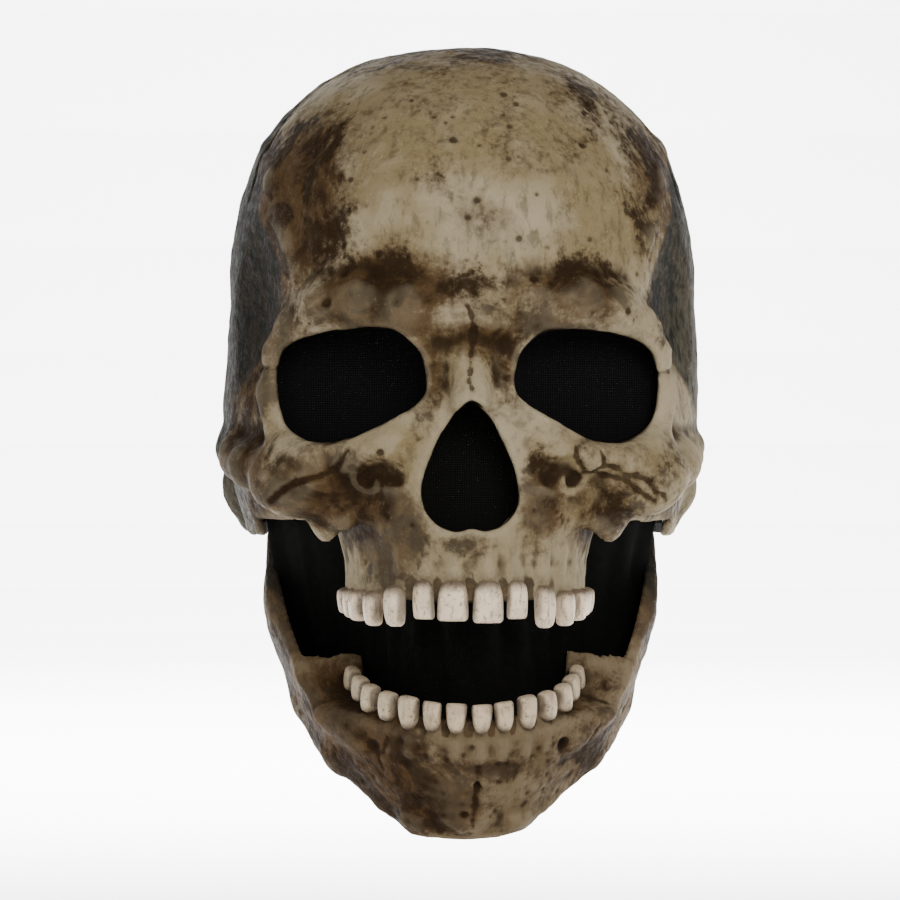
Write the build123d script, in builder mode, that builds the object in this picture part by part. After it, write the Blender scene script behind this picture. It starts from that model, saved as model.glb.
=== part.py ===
"""A full-head latex skull mask with a hinged lower jaw, worn over the head like a helmet.

The origin is midway between the two jaw pivots, where the middle of the wearer's head sits.
The face looks along -Y, +Z is up, and "left" is the wearer's left, towards +X.
The jaw is drawn closed and then swung open to its stop, which is the rest position.
"""

import os
from math import asin, atan2, cos, degrees, radians, sin, sqrt

from build123d import *

# ---- Driving dimensions, in millimetres and degrees ----

# The skull's skin
SKIN = 3.0  # thickness of the latex
HALF_WIDTH = 94.0  # braincase, centre to side
HALF_LENGTH = 116.0  # braincase, centre to front or back
CENTRE_Y = 3.0  # middle of the braincase, front to back
CROWN_Z, WIDEST_Z = 163.0, 60.0
RIM_Z = -32.0  # the neck opening's flat edge
DOME_POWER = 2.45  # squareness of the dome seen from the front
DOME_SHARES = (1.0, 0.8, 0.62, 0.46, 0.3, 0.16, 0.06)  # where the dome's rings lie, from its foot up
NECK_RINGS = ((72.0, -55.0), (86.0, RIM_Z), (92.5, -10.0), (95.0, 15.0))  # half-width, level
CHEEK_EDGE_Z, CHEEK_END_Y = -25.0, -33.0  # lower edge of the cheekbones and its rear end
CHEEK_Z, CHEEK_RADII = 2.0, (13.0, 12.0)  # the cheekbones' arches
CHEEK_SECTIONS = ((-78.0, 0.2), (-64.0, 0.75), (-44.0, 1.0), (-14.0, 0.75), (10.0, 0.2))  # y, share
CHEEK_SINK = 4.5  # how far an arch's middle lies inside the braincase's side

# Eye sockets and nose
SOCKET_X, SOCKET_Y, SOCKET_Z = 45.0, -80.0, 25.5  # middle of each eye mesh
SOCKET_TURN = 25.0  # outward turn of each socket
SOCKET_RADII = (29.0, 21.5)
NOSE_TOP_Z, NOSE_BOTTOM_Z = 19.0, -29.0
NOSE_HALF_WIDTH, NOSE_WIDEST_Z = 19.0, -13.0
NOSE_BRIDGE_HALF_WIDTH, NOSE_BRIDGE_Z = 10.0, 10.0
NOSE_MESH_Y = -97.0
FUNNEL_WALL = 2.5  # rolled-in rim behind the sockets and the nose
MESH_THICKNESS, MESH_LAP = 0.8, 2.2

# Teeth and gums
UPPER_ARCH = (47.0, 67.0, -45.0)  # half-width, reach and rear end of the row of teeth
LOWER_ARCH = (45.0, 64.0, -46.0)
UPPER_GUM_Z, UPPER_WALL_TOP_Z = -50.0, -12.0
LOWER_GUM_Z = -79.0
ARCH_HALF_THICKNESS, GUM_DEPTH = 4.5, 8.0
LEDGE_THICKNESS = 4.0
PEG_RADIUS, PEG_LENGTH, PEG_SPARE = 2.2, 5.5, 0.05

# Tooth kind, distance of its middle from the midline, width, depth and height of its crown
UPPER_TEETH = (
    ("central_incisor", 6.3, 11.4, 7.0, 14.0),
    ("lateral_incisor", 17.0, 8.6, 6.6, 13.6),
    ("canine", 27.6, 9.0, 7.8, 15.0),
    ("first_premolar", 35.0, 7.6, 8.2, 13.0),
    ("second_premolar", 40.4, 7.6, 8.2, 12.0),
    ("first_molar", 44.6, 10.0, 8.4, 11.0),
    ("second_molar", 46.7, 10.0, 8.4, 10.0),
)
LOWER_TEETH = (
    ("central_incisor", 4.6, 7.4, 6.4, 11.6),
    ("lateral_incisor", 13.0, 7.4, 6.4, 11.8),
    ("canine", 21.4, 8.0, 7.4, 12.2),
    ("first_premolar", 29.2, 7.8, 7.8, 11.2),
    ("second_premolar", 35.6, 8.0, 8.0, 10.6),
    ("first_molar", 40.9, 10.4, 8.4, 9.6),
    ("second_molar", 44.0, 10.4, 8.4, 9.0),
)

# The jaw
JAW_OPEN = 15.0  # swing from closed teeth to the stop
JAW_BOTTOM_Z = -127.0
JAW_RINGS = (  # level, half-width and reach of the jaw's outside
    (18.0, 80.0, 116.0),
    (-45.0, 79.0, 113.0),
    (-80.0, 74.5, 109.0),
    (-108.0, 65.0, 105.0),
    (JAW_BOTTOM_Z, 54.0, 98.0),
)
JAW_OUTLINE = (  # y and z of the closed jaw seen from the side, from the hinge down and round the front
    (9.0, 8.0),
    (9.0, -40.0),
    (2.0, -82.0),
    (-60.0, -118.0),
    (-88.0, -128.0),
    (-120.0, -128.0),
    (-120.0, LOWER_GUM_Z),
    (-58.0, LOWER_GUM_Z),
    (-44.0, -40.0),
    (-38.0, -6.0),
    (-22.0, -14.0),
    (-9.0, 8.0),
)
JAW_CORNER_RADIUS = 3.5
CHIN_FLOOR_CUT = ((-46.0, -75.0, -135.0), (46.0, 20.0, -123.0))  # open underside behind the chin

# The jaw's hinge, from the screw's head outwards
SHOULDER_RADIUS, THREAD_RADIUS, RUNNING_GAP = 4.0, 2.5, 0.05
SCREW_HEAD = (7.0, 2.6)  # radius, thickness
SCREW_SLOT = (1.2, 1.2)  # width, depth
SIDE_GAP = 0.25
JAW_PLATE = 2.0
JAW_BOSS = (75.2, 80.6)  # inner and outer face of the jaw at the pivot
WASHER = (9.0, 1.2)  # radius, thickness
INSERT_LENGTH = 6.0
BLOCK_RADIUS, BOSS_RADIUS, PLATE_RADIUS = 13.0, 12.0, 11.0
PLATE_HALF_DEPTH, PLATE_LOW_Z = 8.5, -30.0
BLOCK_X = JAW_BOSS[1] + SIDE_GAP + WASHER[1]  # inner face of the pivot block
SCREW_FACE_X = JAW_BOSS[0] - JAW_PLATE - SIDE_GAP  # underside of the screw's head
STOP_LUG = ((77.0, 9.4, -29.0), (92.0, 14.4, -15.0))  # the stop behind the open jaw, before the swing
STOP_WEB = ((BLOCK_X, 0.0, -29.0), (92.0, 14.4, 0.0))  # what joins the stop to the block

# Linings
GLUE_GAP = 0.2
PAD_THICKNESS = 13.0
PADS = {  # lowest and highest corner of the region that each foam pad lines
    "brow_pad": ((-62.0, -120.0, 55.0), (62.0, -30.0, 86.0)),
    "crown_pad": ((-45.0, -45.0, 118.0), (45.0, 50.0, 170.0)),
    "temple_pad_left": ((40.0, -24.0, 36.0), (100.0, 36.0, 86.0)),
    "temple_pad_right": ((-100.0, -24.0, 36.0), (-40.0, 36.0, 86.0)),
    "nape_pad": ((-48.0, 60.0, 8.0), (48.0, 125.0, 62.0)),
}
HEM_HEIGHT, HEM_THICKNESS, HEM_END_Y = 4.5, 1.5, -26.0
STRAP_THICKNESS, PATCH_THICKNESS = 1.4, 1.6
NAPE_STRAP_Z = (-23.0, -9.0)
NAPE_STRAP_END_Y, NAPE_PATCH_END_Y = 26.0, 50.0
CHIN_STRAP_Z = (-104.0, -90.0)
CHIN_STRAP_LINE = ((62.0, -55.0), (0.0, -88.0))  # half its line, from past the wall to the front
CHIN_PATCH_BOX = ((40.0, -76.0, -106.0), (70.0, -50.0, -89.0))
CHIN_CUP_BOX = ((-28.0, -112.0, -124.0), (28.0, -76.0, -107.0))
CHIN_HOLLOW_RADII, CHIN_HOLLOW_DEPTH, CHIN_HOLLOW_FOOT = (24.0, 18.0), 13.0, 0.6
VEIL_THICKNESS = 1.2
VEIL_TOP = (-27.0, ((70.0, -12.0), (55.0, -29.0), (37.5, -50.0), (0.0, -92.0)))  # level, half its line
VEIL_FOOT = (-95.0, ((60.0, -7.0), (50.0, -10.0), (34.0, -24.0), (0.0, -76.0)))

SIDES = {"left": 1, "right": -1}
JAW_SWING = Rot(X=JAW_OPEN)
FAR = 400.0
PAST_FACE = 60.0
finished = {}


def keep(name, part, swing=None):
    """Registers a finished piece, swung open with the jaw where it belongs to the jaw."""
    piece = part if swing is None else swing * part
    piece.label = name
    finished[name] = piece


# ---- Forms that several pieces are cut from ----


def dome_point(inset, share):
    """Half-width and level of the dome; share runs from 0 at the crown to 1 at the widest level."""
    turn = radians(90.0 * share)
    power = 2.0 / DOME_POWER
    half_width = (HALF_WIDTH - inset) * sin(turn) ** power
    level = WIDEST_Z + (CROWN_Z - WIDEST_Z - inset) * cos(turn) ** power
    return half_width, level


def head_form(inset=0.0):
    """The solid egg of the head, drawn in by inset, as level rings from the neck to the crown."""
    rings = [(half_width - inset, level) for half_width, level in NECK_RINGS]
    rings += [dome_point(inset, share) for share in DOME_SHARES]
    stretch = (HALF_LENGTH - inset) / (HALF_WIDTH - inset)
    with BuildPart() as form:
        for half_width, level in rings:
            with BuildSketch(Plane.XY.offset(level)):
                with Locations((0, CENTRE_Y)):
                    Ellipse(half_width, half_width * stretch)
        loft()
    return form.part


def jaw_form(inset=0.0):
    """The solid that the closed jaw is carved from, drawn in by inset."""
    with BuildPart() as form:
        for level, half_width, reach in JAW_RINGS:
            height = level + (inset if level == JAW_BOTTOM_Z else 0.0)
            with BuildSketch(Plane.XY.offset(height)):
                Ellipse(half_width - inset, reach - inset)
        loft()
    return form.part


HEAD = head_form()
HEAD_INSIDE = head_form(SKIN)
JAW = jaw_form()
JAW_INSIDE = jaw_form(SKIN)


def box_between(low, high):
    """A box from its lowest to its highest corner."""
    size = [high[n] - low[n] for n in range(3)]
    middle = [(high[n] + low[n]) / 2 for n in range(3)]
    return Pos(*middle) * Box(*size)


def on_side(side, low, high):
    """A box given for the left side, mirrored for the right."""
    low_x, high_x = sorted((side * low[0], side * high[0]))
    return box_between((low_x, low[1], low[2]), (high_x, high[1], high[2]))


def lining(outer_form, inner_form, region):
    """The layer between two forms, kept within a region."""
    with BuildPart() as layer:
        add(outer_form)
        add(inner_form, mode=Mode.SUBTRACT)
        add(region, mode=Mode.INTERSECT)
    return layer.part


def curtain(level, half_line, thickness):
    """A curved band's outline at one level: half its line, mirrored, and thickened forwards."""
    line = [(-x, y) for x, y in half_line[:-1]] + [half_line[-1]] + list(reversed(half_line[:-1]))
    spread = 1 + thickness / half_line[0][0]
    front = [(spread * x, y - thickness) for x, y in line]
    with BuildSketch(Plane.XY.offset(level)) as outline:
        with BuildLine():
            Spline(*line)
            Spline(*front)
            Line(line[0], front[0])
            Line(line[-1], front[-1])
        make_face()
    return outline.sketch


# ---- Rows of teeth ----


def on_arch(arch, x):
    """The place on a row of teeth at x, and the row's direction there in degrees."""
    half_width, reach, end_y = arch
    turn = asin(x / half_width)
    place = (x, end_y - reach * cos(turn))
    heading = degrees(atan2(reach * sin(turn), half_width * cos(turn)))
    return place, heading


def tooth(arch, gum_z, up, side, kind, x, width, depth, height):
    """One cast tooth: a crown that widens towards its biting edge, on a peg that plugs into the gum."""
    (across, along), heading = on_arch(arch, x)
    edge_depth = {"incisor": 0.45, "canine": 0.55}.get(kind.split("_")[-1], 0.85)
    edge_width = 0.62 if kind == "canine" else 0.97
    sections = (  # share of the height, width and depth
        (0.0, 0.8 * width, depth),
        (0.55, width, 0.92 * depth),
        (1.0, edge_width * width, edge_depth * depth),
    )
    row_direction = (cos(radians(heading)), side * sin(radians(heading)), 0)
    base = Plane((side * across, along, gum_z), x_dir=row_direction)
    with BuildPart() as piece:
        for share, wide, deep in sections:
            with BuildSketch(base.offset(up * share * height)):
                RectangleRounded(wide, deep, 0.3 * min(wide, deep))
        loft()
        with BuildSketch(base):
            Circle(PEG_RADIUS)
        extrude(amount=-up * PEG_LENGTH)
    return piece.part


def peg_holes(arch, gum_z, up, teeth):
    """The holes in a gum that take the teeth's pegs."""
    places = [on_arch(arch, x)[0] for _, x, *_ in teeth]
    places += [(-x, y) for x, y in places]
    with BuildPart() as holes:
        with BuildSketch(Plane.XY.offset(gum_z)):
            with Locations(*places):
                Circle(PEG_RADIUS + PEG_SPARE)
        extrude(amount=-up * (PEG_LENGTH + 1))
    return holes.part


def arch_wall(arch, half_thickness, low_z, high_z):
    """An upright wall that follows a row of teeth from molar round to molar."""
    half_width, reach, end_y = arch
    with BuildPart() as wall:
        with BuildSketch(Plane.XY.offset(low_z)):
            with Locations((0, end_y)):
                Ellipse(half_width + half_thickness, reach + half_thickness)
                Ellipse(half_width - half_thickness, reach - half_thickness, mode=Mode.SUBTRACT)
                Rectangle(FAR, FAR, align=(Align.CENTER, Align.MIN), mode=Mode.SUBTRACT)
        extrude(amount=high_z - low_z)
    return wall.part


# ---- Skull ----


def socket_outline(side, grow=0.0):
    """An eye socket's rim, on a plane that faces out of the socket."""
    turn = radians(SOCKET_TURN)
    plane = Plane(
        (side * SOCKET_X, SOCKET_Y, SOCKET_Z),
        x_dir=(cos(turn), side * sin(turn), 0),
        z_dir=(side * sin(turn), -cos(turn), 0),
    )
    with BuildSketch(plane) as outline:
        Ellipse(SOCKET_RADII[0] + grow, SOCKET_RADII[1] + grow)
    return outline.sketch


def nose_outline(grow=0.0):
    """The pear-shaped nose opening, with its narrow end up."""
    foot = (0, NOSE_BOTTOM_Z - grow)
    tip = (0, NOSE_TOP_Z + grow)
    widest = (NOSE_HALF_WIDTH + grow, NOSE_WIDEST_Z)
    bridge = (NOSE_BRIDGE_HALF_WIDTH + grow, NOSE_BRIDGE_Z)
    with BuildSketch(Plane.XZ.offset(-NOSE_MESH_Y)) as outline:
        with BuildLine():
            Spline(foot, widest, bridge, tip, tangents=((1, 0), (-1, 0)))
            mirror(about=Plane.YZ)
        make_face()
    return outline.sketch


def swept(outline, amount):
    """An outline drawn out of the face by amount, or into the head where that is negative."""
    face = outline.face()
    normal = face.normal_at()
    outward = normal if normal.Y < 0 else -normal
    with BuildPart() as prism:
        extrude(to_extrude=face, amount=abs(amount), dir=outward * (1 if amount > 0 else -1))
    return prism.part


def funnel(outline):
    """The solid in front of an opening's outline, as far out as the skin's surface."""
    prism = swept(outline, PAST_FACE)
    with BuildPart() as tube:
        add(prism)
        add(HEAD, mode=Mode.INTERSECT)
    return tube.part


def cheekbone(side):
    """The lump of one cheekbone's arch, from the face back to the ear."""
    with BuildPart() as lump:
        for depth, share in CHEEK_SECTIONS:
            half_width = HALF_WIDTH * sqrt(1 - ((depth - CENTRE_Y) / HALF_LENGTH) ** 2)
            with BuildSketch(Plane.XZ.offset(-depth)):
                with Locations((side * (half_width - CHEEK_SINK), CHEEK_Z)):
                    Ellipse(share * CHEEK_RADII[0], share * CHEEK_RADII[1])
        loft()
    return lump.part


def below_face():
    """Everything under the cheekbones' lower edge and the flat neck rim."""
    with BuildPart() as waste:
        with BuildSketch(Plane.YZ):
            with BuildLine():
                Polyline(
                    (-FAR, CHEEK_EDGE_Z),
                    (CHEEK_END_Y, CHEEK_EDGE_Z),
                    (CHEEK_END_Y + 5, RIM_Z),
                    (FAR, RIM_Z),
                    (FAR, -FAR),
                    (-FAR, -FAR),
                    close=True,
                )
            make_face()
        extrude(amount=FAR, both=True)
    return waste.part


def cranium_shell():
    """The braincase, face and upper jaw, moulded in one skin."""
    cheekbones = [cheekbone(side) for side in SIDES.values()]
    rims = [funnel(socket_outline(side, FUNNEL_WALL)) for side in SIDES.values()]
    rims.append(funnel(nose_outline(FUNNEL_WALL)))
    openings = [swept(socket_outline(side), PAST_FACE) for side in SIDES.values()]
    openings.append(swept(nose_outline(), PAST_FACE))
    waste = below_face()
    gum = arch_wall(UPPER_ARCH, ARCH_HALF_THICKNESS, UPPER_GUM_Z, UPPER_GUM_Z + GUM_DEPTH)
    upper_wall = arch_wall(UPPER_ARCH, SKIN / 2, UPPER_GUM_Z, UPPER_WALL_TOP_Z)
    holes = peg_holes(UPPER_ARCH, UPPER_GUM_Z, -1, UPPER_TEETH)
    with BuildPart() as shell:
        add(HEAD)
        add(cheekbones)
        add(HEAD_INSIDE, mode=Mode.SUBTRACT)
        add(rims)
        add(waste, mode=Mode.SUBTRACT)
        add(upper_wall)
        add(gum)
        add(holes, mode=Mode.SUBTRACT)
        add(openings, mode=Mode.SUBTRACT)
    return shell.part


def mesh_panel(outline):
    """A see-through fabric panel glued behind an opening."""
    return swept(outline, -MESH_THICKNESS)


def mouth_veil():
    """The black curtain that closes the mouth and both cheek gaps, from the upper gum to the jaw."""
    top = curtain(*VEIL_TOP, VEIL_THICKNESS)
    foot = curtain(*VEIL_FOOT, VEIL_THICKNESS)
    with BuildPart() as veil:
        loft(sections=[top, foot])
    return veil.part


# ---- Jaw hinge ----


def on_pivot(side, inner_x, outer_x, radius, bore=0.0):
    """A round piece on the pivot's axis, between two distances from the middle."""
    with BuildPart() as piece:
        with BuildSketch(Plane.YZ.offset(side * inner_x)):
            Circle(radius)
            if bore:
                Circle(bore, mode=Mode.SUBTRACT)
        extrude(amount=side * (outer_x - inner_x))
    return piece.part


def pivot_block(side):
    """The block inside the skin that holds the pivot's insert, with the stop for the open jaw."""
    drum = on_pivot(side, BLOCK_X, HALF_WIDTH, BLOCK_RADIUS)
    lug = JAW_SWING * on_side(side, *STOP_LUG)
    web = JAW_SWING * on_side(side, *STOP_WEB)
    bore = on_pivot(side, BLOCK_X, BLOCK_X + INSERT_LENGTH, SHOULDER_RADIUS)
    with BuildPart() as block:
        add(drum)
        add(web)
        add(lug)
        add(HEAD_INSIDE, mode=Mode.INTERSECT)
        add(bore, mode=Mode.SUBTRACT)
    return block.part


def pivot_screw(side):
    """A shoulder screw: the jaw turns on its shoulder and its thread sits in the insert."""
    head_x = SCREW_FACE_X - SCREW_HEAD[1]
    head = on_pivot(side, head_x, SCREW_FACE_X, SCREW_HEAD[0])
    shoulder = on_pivot(side, SCREW_FACE_X, BLOCK_X, SHOULDER_RADIUS)
    thread = on_pivot(side, BLOCK_X, BLOCK_X + INSERT_LENGTH, THREAD_RADIUS)
    slot_low = (head_x - 1, -FAR, -SCREW_SLOT[0] / 2)
    slot_high = (head_x + SCREW_SLOT[1], FAR, SCREW_SLOT[0] / 2)
    slot = on_side(side, slot_low, slot_high)
    with BuildPart() as screw:
        add(head)
        add(shoulder)
        add(thread)
        add(slot, mode=Mode.SUBTRACT)
    return screw.part


def jaw_plate(side):
    """The stiffening plate glued inside the jaw's ear, round the pivot."""
    with BuildPart() as plate:
        with BuildSketch(Plane.YZ.offset(side * (JAW_BOSS[0] - JAW_PLATE))):
            Circle(PLATE_RADIUS)
            with Locations((0, PLATE_LOW_Z)):
                Rectangle(2 * PLATE_HALF_DEPTH, -PLATE_LOW_Z, align=(Align.CENTER, Align.MIN))
            Circle(SHOULDER_RADIUS + RUNNING_GAP, mode=Mode.SUBTRACT)
        extrude(amount=side * JAW_PLATE)
    return plate.part


# ---- Jaw ----


def jaw_side():
    """The jaw's side outline, drawn through from side to side."""
    with BuildPart() as slab:
        with BuildSketch(Plane.YZ):
            with BuildLine():
                Polyline(*JAW_OUTLINE, close=True)
            make_face()
            fillet(vertices(), radius=JAW_CORNER_RADIUS)
        extrude(amount=FAR, both=True)
    return slab.part


def jaw_ledge(low_z):
    """The shelf under the lower gum, out to the jaw's wall."""
    half_width, reach, end_y = LOWER_ARCH
    outside = jaw_form(SKIN / 2)
    region = box_between((-FAR, -FAR, low_z), (FAR, end_y - 12, low_z + LEDGE_THICKNESS))
    with BuildPart() as ledge:
        add(outside)
        add(region, mode=Mode.INTERSECT)
        with BuildSketch(Plane.XY.offset(low_z)):
            with Locations((0, end_y)):
                Ellipse(half_width, reach)
        extrude(amount=LEDGE_THICKNESS, mode=Mode.SUBTRACT)
    return ledge.part


def jaw_shell():
    """The lower jaw in one skin: two upright rami, the chin, and the gum that holds the teeth."""
    slab = jaw_side()
    floor_cut = box_between(*CHIN_FLOOR_CUT)
    gum_foot_z = LOWER_GUM_Z - GUM_DEPTH - 1
    ledge = jaw_ledge(gum_foot_z)
    gum = arch_wall(LOWER_ARCH, ARCH_HALF_THICKNESS, gum_foot_z, LOWER_GUM_Z)
    bosses = [on_pivot(side, *JAW_BOSS, BOSS_RADIUS) for side in SIDES.values()]
    bore_radius = SHOULDER_RADIUS + RUNNING_GAP
    bores = [on_pivot(side, JAW_BOSS[0] - 1, JAW_BOSS[1] + 1, bore_radius) for side in SIDES.values()]
    holes = peg_holes(LOWER_ARCH, LOWER_GUM_Z, 1, LOWER_TEETH)
    with BuildPart() as shell:
        add(JAW)
        add(JAW_INSIDE, mode=Mode.SUBTRACT)
        add(slab, mode=Mode.INTERSECT)
        add(floor_cut, mode=Mode.SUBTRACT)
        add(ledge)
        add(gum)
        add(bosses)
        add(bores, mode=Mode.SUBTRACT)
        add(holes, mode=Mode.SUBTRACT)
    return shell.part


def chin_cup():
    """The foam cup that the wearer's chin rests in, so that the jaw follows it."""
    outside = jaw_form(SKIN + GLUE_GAP)
    region = box_between(*CHIN_CUP_BOX)
    top_z, middle = CHIN_CUP_BOX[1][2], (0, CHIN_CUP_BOX[1][1])
    with BuildPart() as cup:
        add(outside)
        add(region, mode=Mode.INTERSECT)
        for drop, share in ((0.0, 1.0), (CHIN_HOLLOW_DEPTH, CHIN_HOLLOW_FOOT)):
            with BuildSketch(Plane.XY.offset(top_z - drop)):
                with Locations(middle):
                    Ellipse(share * CHIN_HOLLOW_RADII[0], share * CHIN_HOLLOW_RADII[1])
        loft(mode=Mode.SUBTRACT)
    return cup.part


def chin_strap():
    """The elastic band across the jaw that holds it to the wearer's chin."""
    foot = curtain(CHIN_STRAP_Z[0], CHIN_STRAP_LINE, STRAP_THICKNESS)
    top = curtain(CHIN_STRAP_Z[1], CHIN_STRAP_LINE, STRAP_THICKNESS)
    between_patches = jaw_form(SKIN + PATCH_THICKNESS)
    with BuildPart() as strap:
        loft(sections=[foot, top])
        add(between_patches, mode=Mode.INTERSECT)
    return strap.part


# ---- The pieces ----

keep("cranium_shell", cranium_shell())
keep("nose_mesh", mesh_panel(nose_outline(MESH_LAP)))
keep("mouth_veil", mouth_veil())
keep("jaw_shell", jaw_shell(), JAW_SWING)
keep("chin_cup", chin_cup(), JAW_SWING)
keep("chin_strap", chin_strap(), JAW_SWING)

pad_outside, pad_inside = head_form(SKIN + GLUE_GAP), head_form(SKIN + PAD_THICKNESS)
for name, (low, high) in PADS.items():
    keep(name, lining(pad_outside, pad_inside, box_between(low, high)))

patch_inside = head_form(SKIN + PATCH_THICKNESS)
strap_inside = head_form(SKIN + PATCH_THICKNESS + STRAP_THICKNESS)
strap_low = (-FAR, NAPE_STRAP_END_Y, NAPE_STRAP_Z[0])
strap_high = (FAR, FAR, NAPE_STRAP_Z[1])
keep("nape_strap", lining(patch_inside, strap_inside, box_between(strap_low, strap_high)))
hem_low, hem_high = (-FAR, HEM_END_Y, RIM_Z), (FAR, FAR, RIM_Z + HEM_HEIGHT)
keep("neck_hem", lining(HEAD_INSIDE, head_form(SKIN + HEM_THICKNESS), box_between(hem_low, hem_high)))

jaw_patch_inside = jaw_form(SKIN + PATCH_THICKNESS)
for name, side in SIDES.items():
    keep(f"eye_mesh_{name}", mesh_panel(socket_outline(side, MESH_LAP)))
    keep(f"pivot_block_{name}", pivot_block(side))
    insert_end = BLOCK_X + INSERT_LENGTH
    keep(f"threaded_insert_{name}", on_pivot(side, BLOCK_X, insert_end, SHOULDER_RADIUS, THREAD_RADIUS))
    keep(f"pivot_washer_{name}", on_pivot(side, BLOCK_X - WASHER[1], BLOCK_X, WASHER[0], SHOULDER_RADIUS))
    keep(f"pivot_screw_{name}", pivot_screw(side))
    patch_low = (40.0, NAPE_STRAP_END_Y - 1, NAPE_STRAP_Z[0] - 2)
    patch_high = (FAR, NAPE_PATCH_END_Y, NAPE_STRAP_Z[1] + 2)
    keep(f"nape_patch_{name}", lining(HEAD_INSIDE, patch_inside, on_side(side, patch_low, patch_high)))
    keep(f"jaw_plate_{name}", jaw_plate(side), JAW_SWING)
    chin_patch_region = on_side(side, *CHIN_PATCH_BOX)
    keep(f"chin_patch_{name}", lining(JAW_INSIDE, jaw_patch_inside, chin_patch_region), JAW_SWING)
    for row in UPPER_TEETH:
        keep(f"upper_{name}_{row[0]}", tooth(UPPER_ARCH, UPPER_GUM_Z, -1, side, *row))
    for row in LOWER_TEETH:
        keep(f"lower_{name}_{row[0]}", tooth(LOWER_ARCH, LOWER_GUM_Z, 1, side, *row), JAW_SWING)

# ---- Export ----

os.makedirs("parts", exist_ok=True)
for name, piece in finished.items():
    export_step(piece, f"parts/{name}.step")
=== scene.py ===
"""The looks of a full-head latex skull mask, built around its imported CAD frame.

The skull, the jaw and the gums are modelled as signed-distance fields in millimetres and meshed, the teeth
are lofted, and the linings, straps and veil are soft pieces. The face looks along -Y and +Z is up.
"""

import math

import bmesh
import bpy
import numpy as np
import openvdb
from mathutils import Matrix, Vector


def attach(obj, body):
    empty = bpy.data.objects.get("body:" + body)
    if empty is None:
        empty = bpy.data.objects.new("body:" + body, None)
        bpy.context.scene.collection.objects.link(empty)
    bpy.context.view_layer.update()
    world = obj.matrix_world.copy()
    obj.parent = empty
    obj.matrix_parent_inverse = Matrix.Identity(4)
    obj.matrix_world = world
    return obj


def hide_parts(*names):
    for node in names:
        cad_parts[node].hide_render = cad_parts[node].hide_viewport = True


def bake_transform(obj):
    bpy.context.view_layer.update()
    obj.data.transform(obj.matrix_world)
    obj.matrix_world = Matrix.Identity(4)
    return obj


MM = 0.001
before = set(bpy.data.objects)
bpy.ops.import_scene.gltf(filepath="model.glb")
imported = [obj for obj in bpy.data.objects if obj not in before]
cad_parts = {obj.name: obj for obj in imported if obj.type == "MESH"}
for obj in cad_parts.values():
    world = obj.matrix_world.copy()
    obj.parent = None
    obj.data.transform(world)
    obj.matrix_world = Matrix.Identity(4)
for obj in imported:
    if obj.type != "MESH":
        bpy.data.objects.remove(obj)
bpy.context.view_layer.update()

# ---- Driving dimensions, shared with the CAD model, in millimetres and degrees ----

SKIN = 3.0
HALF_WIDTH, HALF_LENGTH, CENTRE_Y = 94.0, 116.0, 3.0
CROWN_Z, WIDEST_Z, RIM_Z = 163.0, 60.0, -32.0
DOME_POWER = 2.45
NECK_RINGS = ((-72.0, 60.0), (-55.0, 72.0), (RIM_Z, 86.0), (-10.0, 92.5), (15.0, 95.0), (40.0, 94.8))
CHEEK_EDGE_Z, CHEEK_END_Y = -26.0, -33.0
JAW_OPEN = 15.0
JAW_RINGS = (  # level, half-width, reach
    (-127.0, 54.0, 98.0),
    (-108.0, 65.0, 105.0),
    (-80.0, 74.5, 109.0),
    (-45.0, 79.0, 113.0),
    (18.0, 80.0, 116.0),
)
UPPER_ARCH, LOWER_ARCH = (47.0, 67.0, -45.0), (45.0, 64.0, -46.0)
UPPER_GUM_Z, LOWER_GUM_Z = -50.0, -79.0
ARCH_THICKNESS = 4.5
SIDES = (("left", 1), ("right", -1))


# ---- Signed-distance fields ----


def soft_min(a, b, k):
    """The smaller of two fields, with the crease rounded over k."""
    h = np.clip(0.5 + 0.5 * (b - a) / k, 0.0, 1.0)
    return b + (a - b) * h - k * h * (1.0 - h)


def soft_max(a, b, k):
    """The larger of two fields, rounded the same way."""
    return -soft_min(-a, -b, k)


def ramp(value, low, high):
    """A smooth step from 0 at low to 1 at high."""
    t = np.clip((value - low) / (high - low), 0.0, 1.0)
    return t * t * (3.0 - 2.0 * t)


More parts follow.
